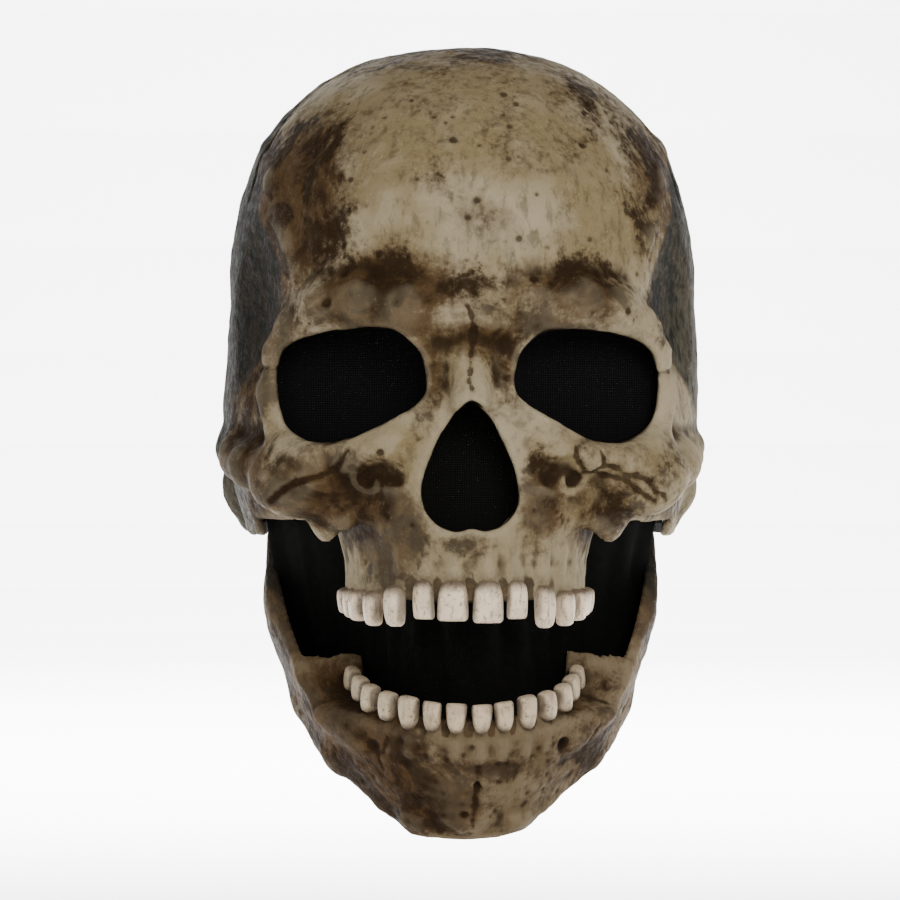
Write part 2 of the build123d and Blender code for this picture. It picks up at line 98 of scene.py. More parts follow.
class Field:
    """A signed-distance field on a grid of points, negative inside, for the half of a form with x above 0."""

    def __init__(self, low, high, step):
        self.step = step
        self.low = np.array(low, np.float32)
        self.axes = [np.arange(a, b + step, step, dtype=np.float32) for a, b in zip(low, high)]
        self.values = np.full([len(axis) for axis in self.axes], 50.0, np.float32)

    def window(self, low, high):
        """The slices of the grid inside a box, and the coordinates there."""
        cut = []
        for n in range(3):
            first = max(0, int((low[n] - self.low[n]) / self.step))
            last = min(len(self.axes[n]), int((high[n] - self.low[n]) / self.step) + 2)
            cut.append(slice(first, max(last, first + 1)))
        x = self.axes[0][cut[0]][:, None, None]
        y = self.axes[1][cut[1]][None, :, None]
        z = self.axes[2][cut[2]][None, None, :]
        return tuple(cut), x, y, z

    def whole(self):
        """The slices and coordinates of the whole grid."""
        return self.window(self.low, [axis[-1] for axis in self.axes])

    def around(self, shape, reach):
        """The slices of the grid within reach of a shape's box, and the shape's distance there."""
        low, high, distance = shape
        cut, x, y, z = self.window([v - reach for v in low], [v + reach for v in high])
        return cut, distance(x, y, z)

    def put(self, shape, soft=2.0):
        """Joins a shape, given as its box and its distance function."""
        cut, distance = self.around(shape, soft + 2.0)
        self.values[cut] = soft_min(self.values[cut], distance, soft)

    def carve(self, shape, soft=2.0):
        """Cuts a shape away."""
        cut, distance = self.around(shape, soft + 2.0)
        self.values[cut] = soft_max(self.values[cut], -distance, soft)

    def swell(self, centre, radii, amount):
        """Raises the surface by up to amount inside an ellipsoid, or sinks it where that is negative."""
        low = [c - r for c, r in zip(centre, radii)]
        high = [c + r for c, r in zip(centre, radii)]
        cut, x, y, z = self.window(low, high)
        parts = [((v - c) / r) ** 2 for v, c, r in zip((x, y, z), centre, radii)]
        weight = np.clip(1.0 - (parts[0] + parts[1] + parts[2]), 0.0, 1.0)
        self.values[cut] -= amount * weight * weight

    def groove(self, points, radius, depth):
        """Presses a rounded groove along a line of points, or raises a welt where depth is negative."""
        for a, b in zip(points[:-1], points[1:]):
            low = [min(p, q) - 2 * radius for p, q in zip(a, b)]
            high = [max(p, q) + 2 * radius for p, q in zip(a, b)]
            cut, x, y, z = self.window(low, high)
            _, away = nearest_on_line(x, y, z, a, b)
            weight = np.clip(1.0 - (away / (2 * radius)) ** 2, 0.0, 1.0)
            self.values[cut] += depth * weight * weight

    def roughen(self, seed, spacing, amount):
        """Adds smooth random unevenness with bumps about this far apart."""
        self.values += amount * smooth_noise(seed, self, spacing)

    def copy(self):
        other = Field((0, 0, 0), (0, 0, 0), self.step)
        other.values, other.low, other.axes = self.values.copy(), self.low, self.axes
        return other

    def both_sides(self):
        """The same form on both sides of the middle, from the side that is kept."""
        first = int(round(-float(self.axes[0][0]) / self.step))
        right = self.values[first:]
        whole = Field((0, 0, 0), (0, 0, 0), self.step)
        whole.values = np.concatenate([right[:0:-1], right], axis=0)
        reach = (len(right) - 1) * self.step
        whole.low = np.array((-reach, self.low[1], self.low[2]), np.float32)
        whole.axes = [np.arange(whole.values.shape[0], dtype=np.float32) * self.step - reach] + self.axes[1:]
        return whole

    def sample(self, points):
        """The field's value at points, by interpolation between grid points."""
        place = (np.asarray(points, np.float32) - self.low) / self.step
        return trilinear(self.values, place)


def trilinear(values, place):
    """Values of a grid at places counted in cells, by interpolation between its points."""
    shape = np.array(values.shape)
    place = np.clip(place, 0, shape - 1.001)
    corner = place.astype(np.int32)
    t = (place - corner).astype(np.float32)
    result = np.zeros(len(place), np.float32)
    for dx in (0, 1):
        for dy in (0, 1):
            for dz in (0, 1):
                weight = (t[:, 0] if dx else 1 - t[:, 0]) * (t[:, 1] if dy else 1 - t[:, 1])
                weight = weight * (t[:, 2] if dz else 1 - t[:, 2])
                result += weight * values[corner[:, 0] + dx, corner[:, 1] + dy, corner[:, 2] + dz]
    return result


def nearest_on_line(x, y, z, a, b):
    """How far along the line from a to b the nearest place is, from 0 to 1, and the distance from it."""
    d = [q - p for p, q in zip(a, b)]
    length = sum(v * v for v in d) or 1.0
    t = np.clip(((x - a[0]) * d[0] + (y - a[1]) * d[1] + (z - a[2]) * d[2]) / length, 0.0, 1.0)
    away = np.sqrt((x - a[0] - t * d[0]) ** 2 + (y - a[1] - t * d[1]) ** 2 + (z - a[2] - t * d[2]) ** 2)
    return t, away


def rod(a, b, radius_a, radius_b=None):
    """A rod with round ends, from a to b."""
    radius_b = radius_a if radius_b is None else radius_b
    big = max(radius_a, radius_b)

    def distance(x, y, z):
        t, away = nearest_on_line(x, y, z, a, b)
        return away - (radius_a + (radius_b - radius_a) * t)

    low = [min(p, q) - big for p, q in zip(a, b)]
    high = [max(p, q) + big for p, q in zip(a, b)]
    return low, high, distance


def blob(centre, radii, turn=0.0):
    """An ellipsoid, turned about the vertical by a number of degrees."""
    c, s = math.cos(math.radians(turn)), math.sin(math.radians(turn))

    def distance(x, y, z):
        u = (x - centre[0]) * c + (y - centre[1]) * s
        v = -(x - centre[0]) * s + (y - centre[1]) * c
        w = z - centre[2]
        k0 = np.sqrt((u / radii[0]) ** 2 + (v / radii[1]) ** 2 + (w / radii[2]) ** 2) + 1e-6
        k1 = np.sqrt((u / radii[0] ** 2) ** 2 + (v / radii[1] ** 2) ** 2 + (w / radii[2] ** 2) ** 2) + 1e-6
        return k0 * (k0 - 1.0) / k1

    big = max(radii[:2])
    low = [centre[0] - big, centre[1] - big, centre[2] - radii[2]]
    high = [centre[0] + big, centre[1] + big, centre[2] + radii[2]]
    return low, high, distance


def egg(x, y, z, rings, half_widths, half_lengths, middle_y):
    """An upright egg given by its half-width and half-length at each level, as an approximate distance."""
    level = np.clip(z, rings[0], rings[-1])
    wide = np.interp(level, rings, half_widths).astype(np.float32)
    long = np.interp(level, rings, half_lengths).astype(np.float32)
    slope = np.gradient(wide.ravel(), (z.ravel()[1] - z.ravel()[0])).reshape(wide.shape)
    k0 = np.sqrt((x / wide) ** 2 + ((y - middle_y) / long) ** 2) + 1e-6
    k1 = np.sqrt((x / wide**2) ** 2 + ((y - middle_y) / long**2) ** 2) + 1e-6
    flat = k0 * (k0 - 1.0) / k1
    return flat / np.sqrt(1.0 + slope**2)


def head_rings(inset, count=60):
    """Levels and half-widths of the braincase from the neck to the crown, drawn in by inset."""
    share = np.linspace(1.0, 0.02, count)
    turn = np.radians(90.0 * share)
    power = 2.0 / DOME_POWER
    height, half_width = CROWN_Z - WIDEST_Z - inset, HALF_WIDTH - inset
    dome = [(WIDEST_Z + height * math.cos(t) ** power, half_width * math.sin(t) ** power) for t in turn]
    rings = [(level, wide - inset) for level, wide in NECK_RINGS] + dome
    return np.array([r[0] for r in rings]), np.array([r[1] for r in rings])


def head_distance(x, y, z, inset=0.0):
    """The braincase's egg: a stack of ellipses below, and a round dome on top."""
    levels, wides = head_rings(inset)
    stretch = (HALF_LENGTH - inset) / (HALF_WIDTH - inset)
    side = egg(x, y, z, levels, wides, wides * stretch, CENTRE_Y)
    a, b, c = HALF_WIDTH - inset, HALF_LENGTH - inset, CROWN_Z - WIDEST_Z - inset
    p = DOME_POWER
    flat = (x / a) ** 2 + ((y - CENTRE_Y) / b) ** 2
    up = np.maximum(z - WIDEST_Z, 0.0) / c
    total = flat ** (p / 2) + up**p
    root = total ** (1 / p) + 1e-6
    grad_flat = flat ** (p / 2 - 1) * root ** (1 - p)
    gx = x / a**2 * grad_flat
    gy = (y - CENTRE_Y) / b**2 * grad_flat
    gz = up ** (p - 1) / c * root ** (1 - p)
    dome = (root - 1.0) / (np.sqrt(gx**2 + gy**2 + gz**2) + 1e-6)
    return np.where(z > WIDEST_Z, dome, side)


def smooth_noise(seed, field, spacing):
    """Random values, one per lattice point at this spacing, smoothed out over the whole grid."""
    rng = np.random.default_rng(seed)
    counts = [int(len(axis) * field.step / spacing) + 3 for axis in field.axes]
    lattice = rng.uniform(-1.0, 1.0, counts).astype(np.float32)
    for n, axis in enumerate(field.axes):
        place = (axis - axis[0]) / spacing
        corner = place.astype(int)
        t = place - corner
        t = t * t * (3 - 2 * t)
        weights = np.zeros((len(axis), counts[n]), np.float32)
        rows = np.arange(len(axis))
        weights[rows, corner] = 1 - t
        weights[rows, corner + 1] += t
        lattice = np.moveaxis(np.tensordot(weights, lattice, axes=(1, n)), 0, n)
    return lattice


def surface(field):
    """The surface of a field as points in millimetres and four-sided faces."""
    band = 3.0 * field.step
    grid = openvdb.FloatGrid(background=band)
    grid.copyFromArray(np.clip(field.values, -band, band).astype(np.float32))
    points, quads = grid.convertToQuads(0.0)
    return (points * field.step + field.low).astype(np.float32), quads


def box_blur(values, radius):
    """The mean of the values in a cube round each point."""
    for axis in range(3):
        moved = np.moveaxis(values, axis, 0)
        before, after = np.repeat(moved[:1], radius + 1, 0), np.repeat(moved[-1:], radius, 0)
        total = np.cumsum(np.concatenate([before, moved, after]), axis=0, dtype=np.float64)
        values = np.moveaxis((total[2 * radius + 1:] - total[:-2 * radius - 1]) / (2 * radius + 1), 0, axis)
        values = values.astype(np.float32)
    return values


class Outline:
    """A smooth closed outline through a few points, with its signed distance looked up on a flat grid."""

    def __init__(self, points, cell=0.5, margin=24.0, per_side=10):
        points = np.array(points, float)
        before, after, later = np.roll(points, 1, 0), np.roll(points, -1, 0), np.roll(points, -2, 0)
        curve = []
        for t in np.linspace(0, 1, per_side, endpoint=False):
            square = (2 * before - 5 * points + 4 * after - later) * t**2
            cube = (3 * points - before - 3 * after + later) * t**3
            curve.append(0.5 * (2 * points + (after - before) * t + square + cube))
        self.curve = np.stack(curve, 1).reshape(-1, 2)
        self.cell = cell
        self.low = self.curve.min(0) - margin
        counts = ((self.curve.max(0) + margin - self.low) / cell).astype(int) + 2
        u = self.low[0] + cell * np.arange(counts[0])[:, None]
        v = self.low[1] + cell * np.arange(counts[1])[None, :]
        nearest = np.full(counts, 1e9)
        inside = np.zeros(counts, bool)
        for a, b in zip(self.curve, np.roll(self.curve, -1, 0)):
            d = b - a
            t = np.clip(((u - a[0]) * d[0] + (v - a[1]) * d[1]) / (d @ d + 1e-12), 0, 1)
            nearest = np.minimum(nearest, (u - a[0] - t * d[0]) ** 2 + (v - a[1] - t * d[1]) ** 2)
            level = (b[0] - a[0]) * (v - a[1]) / (b[1] - a[1] + 1e-12) + a[0]
            inside ^= ((a[1] > v) != (b[1] > v)) & (u < level)
        self.values = (np.sqrt(nearest) * np.where(inside, -1, 1)).astype(np.float32)

    def distance(self, u, v):
        """Signed distance from the outline, negative inside."""
        pu = np.clip((u - self.low[0]) / self.cell, 0, self.values.shape[0] - 1.001)
        pv = np.clip((v - self.low[1]) / self.cell, 0, self.values.shape[1] - 1.001)
        iu, iv = pu.astype(np.int32), pv.astype(np.int32)
        tu, tv = (pu - iu).astype(np.float32), (pv - iv).astype(np.float32)
        w = self.values
        near = w[iu, iv] * (1 - tv) + w[iu, iv + 1] * tv
        far = w[iu + 1, iv] * (1 - tv) + w[iu + 1, iv + 1] * tv
        return near * (1 - tu) + far * tu


# ---- The skull ----

SOCKET = (45.0, -80.0, 25.5)  # middle of the left eye mesh
SOCKET_TURN = 25.0
SOCKET_RIM = Outline((  # across and up, seen from the front
    (17.0, 24), (16.8, 32), (19.5, 40), (27.5, 47.0), (37, 48.5), (48, 47.5), (60, 45.5), (69.5, 41),
    (73, 33), (73.2, 24), (72.2, 17), (68.5, 10), (61, 5.6), (53, 4.8), (44, 7.2), (33, 12.2), (22.5, 18.0),
))
NOSE_RIM = Outline((
    (0, 20.3), (4.2, 17.8), (8.6, 12.5), (12.3, 5.6), (15.4, -1.5), (17.6, -8.5), (18.2, -14.5), (16.9, -21),
    (12.5, -26.3), (6, -28.8), (0, -27.8),
    (-6, -28.8), (-12.5, -26.3), (-16.9, -21), (-18.2, -14.5), (-17.6, -8.5), (-15.4, -1.5), (-12.3, 5.6),
    (-8.6, 12.5), (-4.2, 17.8),
))
NOSE_MESH_Y = -97.0
TEETH = {  # kind, distance of its middle from the midline, width, depth and height
    "upper": (
        ("central_incisor", 6.3, 11.6, 7.0, 15.6),
        ("lateral_incisor", 17.0, 8.8, 6.6, 14.6),
        ("canine", 27.2, 8.9, 7.8, 15.6),
        ("first_premolar", 35.0, 7.4, 8.2, 13.2),
        ("second_premolar", 40.4, 7.6, 8.2, 12.0),
        ("first_molar", 44.6, 10.0, 8.4, 11.0),
        ("second_molar", 46.7, 10.0, 8.4, 10.0),
    ),
    "lower": (
        ("central_incisor", 4.6, 7.6, 6.4, 11.8),
        ("lateral_incisor", 13.0, 7.6, 6.4, 12.0),
        ("canine", 21.4, 8.0, 7.4, 13.0),
        ("first_premolar", 29.2, 7.8, 7.8, 11.6),
        ("second_premolar", 35.6, 8.0, 8.0, 10.8),
        ("first_molar", 40.9, 10.4, 8.4, 9.8),
        ("second_molar", 44.0, 10.4, 8.4, 9.2),
    ),
}


def on_arch(arch, x):
    """The place on a row of teeth at x, and the row's direction there in radians."""
    half_width, reach, end_y = arch
    turn = math.asin(x / half_width)
    heading = math.atan2(reach * math.sin(turn), half_width * math.cos(turn))
    return (x, end_y - reach * math.cos(turn)), heading


def socket_depth(x, y):
    """How far in front of the eye mesh's plane a point is."""
    turn = math.radians(SOCKET_TURN)
    return (x - SOCKET[0]) * math.sin(turn) - (y - SOCKET[1]) * math.cos(turn)


def socket_funnel(grow=0.0, behind=2.0):
    """The space of the left eye socket, from behind its mesh forwards."""

    def distance(x, y, z):
        flat = SOCKET_RIM.distance(x + 0 * z, z + 0 * x)
        return np.maximum(flat - grow + 0 * y, -behind - socket_depth(x, y) + 0 * z)

    return (4.0, -135.0, -8.0), (90.0, -55.0, 60.0), distance


def nose_funnel(grow=0.0, behind=2.0):
    """The nose opening's space, from behind its mesh forwards."""

    def distance(x, y, z):
        flat = NOSE_RIM.distance(x + 0 * z, z + 0 * x)
        return np.maximum(flat - grow + 0 * y, y - NOSE_MESH_Y - behind + 0 * x)

    return (-30.0, -135.0, -40.0), (30.0, -90.0, 32.0), distance


def chain(field, points, radii, soft):
    """A run of round rods through points."""
    for n in range(len(points) - 1):
        field.put(rod(points[n], points[n + 1], radii[n], radii[n + 1]), soft)


def ellipse_flat(x, y, a, b):
    """Approximate distance from an upright elliptical cylinder."""
    k0 = np.sqrt((x / a) ** 2 + (y / b) ** 2) + 1e-6
    k1 = np.sqrt((x / a**2) ** 2 + (y / b**2) ** 2) + 1e-6
    return k0 * (k0 - 1.0) / k1


def arch_band(arch, levels, proud, inner, end_y):
    """The U-shaped band that a row of teeth stands in; proud is how far it stands out at each level."""
    half_width, reach, centre_y = arch
    low_z, high_z = levels[0], levels[-1]

    def distance(x, y, z):
        grow = np.interp(z, levels, proud).astype(np.float32)
        out = ellipse_flat(x, y - centre_y, half_width + grow, reach + grow)
        back = ellipse_flat(x, y - centre_y, half_width - inner + 0 * z, reach - inner + 0 * z)
        flat = np.maximum(out, -back)
        tall = np.abs(z - (low_z + high_z) / 2) - (high_z - low_z) / 2
        return soft_max(soft_max(flat, tall, 2.0), y - end_y, 3.0)

    return (0.0, centre_y - reach - 14, low_z - 1), (half_width + 14, end_y + 2, high_z + 1), distance


def roots(field, arch, teeth, gum_z, up, proud, length):
    """The bulges that the teeth's roots raise over the gum, with dips between them."""
    for _, x, width, _, _ in teeth:
        (across, along), heading = on_arch(arch, x)
        out = (math.sin(heading), -math.cos(heading))
        foot = (across + proud * out[0], along + proud * out[1], gum_z + 6.5 * up)
        tip = (across + proud * out[0], along + proud * out[1], gum_z + length * up)
        field.put(rod(foot, tip, 0.27 * width, 0.20 * width), 3.0)


def face_forms(skull):
    """What stands out of the braincase's egg, or sinks into it, on the left of the face."""
    # forehead bump, brow ridge and the swelling over the nose
    skull.swell((34, -98, 100), (40, 40, 40), 2.6)
    skull.swell((0, -112, 84), (18, 24, 30), -1.2)
    brow = ((9, -108.5, 49), (24, -106, 56), (40, -100.5, 59), (56, -91, 57), (68, -78, 49))
    chain(skull, brow, (6, 7.2, 7.0, 6.2, 6.0), 8.0)
    skull.swell((0, -114, 53), (18, 16, 13), 3.4)
    skull.swell((0, -112, 44), (26, 16, 8), -2.2)
    skull.swell((30, -106, 71), (34, 22, 12), -0.7)
    # side rim of the socket, its lower rim, the cheekbone and its arch
    chain(skull, ((66, -80, 49), (73, -72, 39), (75.5, -69, 24), (73.5, -72, 9)), (5.6, 4.6, 4.2, 5.0), 7.0)
    lower_rim = ((17, -107, 14), (30, -103.5, 5), (44, -98, -0.5), (58, -90, -2), (70, -79, 3))
    chain(skull, lower_rim, (4.0, 4.2, 4.8, 5.4, 5.6), 6.0)
    skull.put(blob((66, -77.5, -10), (19, 15, 14), 35), 8.0)
    arch = ((74, -69, -6), (84, -53, -4), (89.5, -34, -1), (91.5, -12, 2), (91, 8, 3))
    chain(skull, arch, (8.4, 7.2, 6.0, 5.0, 4.0), 9.0)
    skull.swell((36, -104, -15), (15, 20, 17), -3.6)  # the hollow beside the nose
    # nasal bones, the grooves beside them and the raised rim of the nose
    chain(skull, ((0, -106, 46), (0, -110.5, 34), (0, -117.5, 21)), (7.0, 6.4, 7.6), 4.0)
    skull.swell((13.5, -112, 32), (8, 14, 16), -1.8)
    nose_rim = ((9, -111, 20), (14.5, -107.5, 8), (19.5, -104.5, -8), (19.5, -103, -22))
    chain(skull, nose_rim, (3.2, 3.4, 3.6, 3.2), 4.0)


def head_back_forms(skull):
    """The temple's edge line, the bump behind the ear and the ridges on the back of the head."""
    temple_line = ((64, -84, 62), (70, -72, 84), (76, -50, 108), (80, -14, 124), (80, 26, 118), (84, 58, 92))
    skull.groove(temple_line, 4.0, -0.7)
    chain(skull, ((90, 22, 0), (88, 26, -14), (84, 28, -26)), (5.5, 7.5, 6.0), 8.0)
    skull.swell((91, 8, -8), (9, 8, 9), -1.8)
    skull.put(rod((0, 116, 28), (0, 117, 22), 4.5, 3.5), 6.0)
    skull.groove(((0, 119, 24), (24, 115, 30), (46, 104, 27), (66, 86, 18)), 4.0, -1.4)


def upper_band():
    """The gum of the upper teeth, widening towards the nose."""
    levels = (UPPER_GUM_Z - 5.5, UPPER_GUM_Z - 1.0, -46.0, -41.0, -30.0, -12.0)
    return arch_band(UPPER_ARCH, levels, (-0.4, 0.3, 0.3, 0.5, 3.4, 6.5), ARCH_THICKNESS, -44.0)


def sculpt_skull(step):
    """The left half of the skull: the solid form, the same before its openings, and the hollow inside."""
    low, high = (-3.0, -128.0, -72.0), (108.0, 124.0, 170.0)
    skull, hollow = Field(low, high, step), Field(low, high, step)
    _, x, y, z = skull.whole()
    skull.values = head_distance(x, y, z).astype(np.float32)
    hollow.values = head_distance(x, y, z, SKIN).astype(np.float32)
    for form in (skull, hollow):
        form.swell((90, -60, 56), (30, 33, 44), -9.0)  # the sunken temple
        form.swell((84, -66, -32), (30, 42, 24), -6.5)  # under the cheekbone
    face_forms(skull)
    head_back_forms(skull)
    # lower edge of the face, and the flat rim of the neck
    below = np.minimum(CHEEK_EDGE_Z - z + 0 * y, CHEEK_END_Y - y + 0 * z)
    skull.values = soft_max(skull.values, np.maximum(below, RIM_Z - z), 2.4)
    # the upper jaw, and the buttress from it up to the cheekbone
    chain(skull, ((47, -84, -24), (53, -74, -27), (52, -62, -34)), (5.0, 5.5, 4.5), 6.0)
    skull.put(upper_band(), 6.0)
    roots(skull, UPPER_ARCH, TEETH["upper"], UPPER_GUM_Z, 1, -0.4, 15.0)
    skull.swell((22, -106, -34), (9, 12, 12), -1.3)
    deep = skull.copy()
    skull.carve(nose_funnel(), 1.2)
    skull.carve(socket_funnel(), 1.6)
    hollow.carve(upper_band(), 1.0)
    for wall in (nose_funnel(2.6, 1.0), socket_funnel(2.6, 1.0)):
        hollow.carve(wall, 1.0)
    return skull, deep, hollow


CRACKS = (  # each a line of points, then the depth of the cut
    (((38.5, -101, 3), (41, -101, -2.5), (44, -99, -6), (58, -90, -7.5), (67, -82, -14)), 0.9),
    (((48, -98, 3), (50.5, -97, -4), (46, -98, -6)), 0.9),
    (((50.5, -97, -4), (64, -86, -6.5), (71, -78, -14)), 0.8),
    (((70, -76, 31.5), (77, -66, 33.5), (83, -58, 36)), 0.8),
    (((-70, -76, 33), (-78, -65, 34), (-84, -56, 33)), 0.8),
    (((-2, -114, 56), (1.0, -113, 48), (0.5, -114, 42), (-0.5, -115, 33), (0, -122, 22)), 0.7),
    (((-45, -98, 4), (-48, -97, -2), (-51.5, -96, -6), (-63, -88, -7), (-71, -79, -14)), 1.0),
)
SUTURES = (  # front, middle and back seams of the skull's roof
    ((0, -6, 163), (20, -9, 161), (42, -14, 148), (64, -20, 126), (80, -28, 98)),
    ((0, -6, 163), (0, 16, 163), (0, 40, 158), (0, 74, 140), (0, 92, 120)),
    ((0, 92, 120), (22, 92, 108), (44, 86, 92), (62, 78, 70), (76, 66, 44), (86, 44, 22)),
)
PITS = (  # place and size; the first two pass under the eye sockets
    (-40.3, -101, -10.8, 3.4), (40.6, -101, -11, 3.4), (-52, -96, 57, 1.9), (58, -92, 54, 1.8),
    (-7, -112, 130, 1.4), (-33, -104, 2, 1.6), (24, -110, 66, 1.2), (3, 119, 70, 1.6),
    (-30, 70, 148, 1.5), (30, 76, 145, 1.5),
)


def wandering(points, seed, spacing, swing):
    """A line of points, filled in at this spacing and swung from side to side at random."""
    rng = np.random.default_rng(seed)
    line = []
    for a, b in zip(points[:-1], points[1:]):
        a, b = np.array(a, float), np.array(b, float)
        count = max(2, int(np.linalg.norm(b - a) / spacing))
        for share in np.linspace(0, 1, count, endpoint=False):
            line.append(a + (b - a) * share + rng.uniform(-swing, swing, 3))
    line.append(np.array(points[-1], float))
    return line


def onto(field, point, middle=(0.0, 3.0, 40.0)):
    """The place where a ray from the middle of the head through a point leaves the surface."""
    middle = np.array(middle)
    ray = np.array(point, float) - middle
    shares = np.linspace(0.7, 1.4, 141)
    values = field.sample(middle + shares[:, None] * ray)
    inside = np.nonzero(values < 0)[0]
    return middle + shares[inside[-1] if len(inside) else 60] * ray


def cut_crack(form, marks, line, width, depth):
    """A groove in a form, marked for dark paint."""
    form.groove(line, width, depth)
    marks.groove(line, width, -1.0)


def cut_pit(form, marks, place, size, depth, mark):
    """A small hollow in a form, marked for dark paint."""
    form.swell(place, (1.5 * size, 1.8 * size, 1.4 * size), -depth)
    marks.swell(place, (1.4 * size, 1.8 * size, 1.3 * size), mark)


def weather_skull(skull, marks):
    """Cracks, sutures, pits and the uneven surface of old bone, not the same on both sides."""
    for spacing, amount, seed in ((34, 0.8, 1), (15, 0.42, 2), (7, 0.26, 3), (3.4, 0.2, 4)):
        skull.roughen(seed, spacing, amount)
    cuts = [(wandering(points, 40 + n, 4.0, 0.9), 0.9, depth) for n, (points, depth) in enumerate(CRACKS)]
    for n, points in enumerate(SUTURES):
        for side in (1, -1) if n != 1 else (1,):
            seam = wandering([(side * x, y, z) for x, y, z in points], 60 + 2 * n + side, 3.0, 1.5)
            cuts.append((seam, 1.1, 0.75))
    for line, width, depth in cuts:
        cut_crack(skull, marks, [onto(skull, point) for point in line], width, depth)
    rng = np.random.default_rng(9)
    spots = [(place[:3], place[3], 1.5, 1.6) for place in PITS]
    for _ in range(420):  # small pocks
        turn, level = rng.uniform(0, 2 * math.pi), rng.uniform(-20, 158)
        place = (80 * math.cos(turn), 3 + 100 * math.sin(turn), level)
        spots.append((place, rng.uniform(0.8, 1.8), 0.5, 0.5))
    for place, size, depth, mark in spots:
        cut_pit(skull, marks, onto(skull, place), size, depth, mark)
    for side in (-1, 1):
        angles = np.linspace(2.4, 6.4, 9)
        rim = [(side * 40.4 + 5.5 * math.cos(t), -101, -11.0 + 4.8 * math.sin(t)) for t in angles]
        skull.groove([onto(skull, point) for point in rim], 1.2, -0.6)


STAINS = (  # middle, radii and strength of the brown patches
    ((0, -112, 46), (34, 30, 17), 1.0),
    ((-16, -110, 32), (11, 20, 26), 1.0),
    ((15, -110, 34), (9, 18, 20), 0.9),
    ((-66, -72, 98), (34, 46, 58), 1.3),
    ((-88, -56, 80), (34, 80, 110), 1.4),
    ((80, -50, 110), (30, 66, 60), 1.0),
    ((0, -30, 170), (110, 90, 34), 0.9),
    ((-32, -104, 60), (46, 26, 22), 1.5),
    ((-26, -108, 50), (26, 22, 9), 1.4),
    ((36, -103, 60), (42, 26, 18), 1.2),
    ((26, -108, 50), (26, 22, 8), 1.1),
    ((-70, -74, 46), (22, 30, 30), 1.0),
    ((76, -66, 50), (16, 24, 24), 0.85),
    ((-56, -92, -14), (42, 36, 24), 1.3),
    ((50, -90, -10), (44, 40, 36), 0.7),
    ((0, -114, 22), (18, 22, 26), 0.5),
    ((58, -60, 140), (46, 50, 38), 0.6),
    ((-38, -103, -28), (28, 34, 28), 1.7),
    ((27, -104, -18), (14, 24, 24), 1.2),
    ((50, -84, -26), (20, 34, 18), 0.95),
    ((-86, -56, -14), (28, 44, 40), 1.7),
    ((64, -80, -10), (22, 26, 12), 0.6),
    ((84, -50, -20), (22, 36, 16), 0.8),
    ((0, -112, -34), (16, 20, 6), 0.7),
    ((-12, -110, 108), (14, 24, 12), 0.45),
    ((60, 60, 110), (60, 60, 40), 0.6),
    ((-60, 70, 40), (60, 60, 50), 0.65),
    ((50, 80, -10), (60, 60, 30), 0.8),
)
TEMPLE_EDGE = (  # level, and the temple's angle from the front there
    (20, 34, 50, 70, 106, 130, 150),
    (66, 57, 47, 44, 60, 82, 110),
)


def temple_paint_and_side_shade(points):
    """How much of the dark temple paint, and of the painted shade down the skull's sides, each point of the
    skull carries.
    """
    x, y, z = points.T
    angle = np.degrees(np.arctan2(np.abs(x), CENTRE_Y - y))
    edge = np.interp(z, *TEMPLE_EDGE)
    share = ramp(angle - edge, -1.5, 4.0) * ramp(z, -6, 40) * (1 - ramp(z, 96, 150))
    share *= 1 - 0.85 * ramp(angle, 84, 140)
    rim = ramp(angle, 60, 80) * np.where(x < 0, 0.85, 0.5)  # painted shade down the sides, heavier on the right one
    return np.maximum(share, rim * (1 - 0.6 * ramp(angle, 110, 140)))


def spot_share(points, spots):
    """The strongest of several soft ellipsoidal spots, at each point."""
    share = np.zeros(len(points), np.float32)
    for centre, radii, strength in spots:
        away = np.sqrt((((points - np.array(centre)) / np.array(radii)) ** 2).sum(1))
        share = np.maximum(share, strength * (1 - ramp(away, 0.15, 1.3)))
    return share


def paint_masks(points, solid, deep, marks, stains):
    """Where paint gathers and wears and where shade is painted: recesses (a dark wash and painted shade) and
    edges, stains, cracks, and the unpainted inside.
    """
    here = solid.sample(points)
    masks = {}
    # dip and recess: how far a point lies in a hollow; the material darkens these as a dark wash and as
    # painted shade
    for name, radius, scale in (("dip", 2.0, 0.35), ("recess", 7.0, 1.6)):
        blurred = solid.copy()
        blurred.values = box_blur(solid.values, max(1, round(radius / solid.step)))
        masks[name] = np.clip((here - blurred.sample(points)) / scale, -1, 1)
    masks["inside"] = ramp(-deep.sample(points), 0.9, 3.0)
    masks["crack"] = np.clip(marks.sample(points), 0, 1)
    masks["stain"] = spot_share(points, stains)
    return masks


def between_teeth(points, row):
    """How close each point is to a gap in a row of teeth, from 0 to 1."""
    x = np.abs(points[:, 0])
    share = np.ones(len(points))
    for _, middle, width, _, _ in TEETH[row][:5]:
        share = np.minimum(share, np.abs(x - middle) / (0.5 * width))
    return ramp(share, 0.55, 0.95) * (1 - ramp(points[:, 1], -80, -66))


def paint_gum(masks, gaps, edge):
    """Brown between the teeth, and black along the gum's edge."""
    masks["stain"] = np.maximum(masks["stain"], 1.8 * gaps)
    masks["crack"] = np.maximum(masks["crack"], 0.6 * edge)


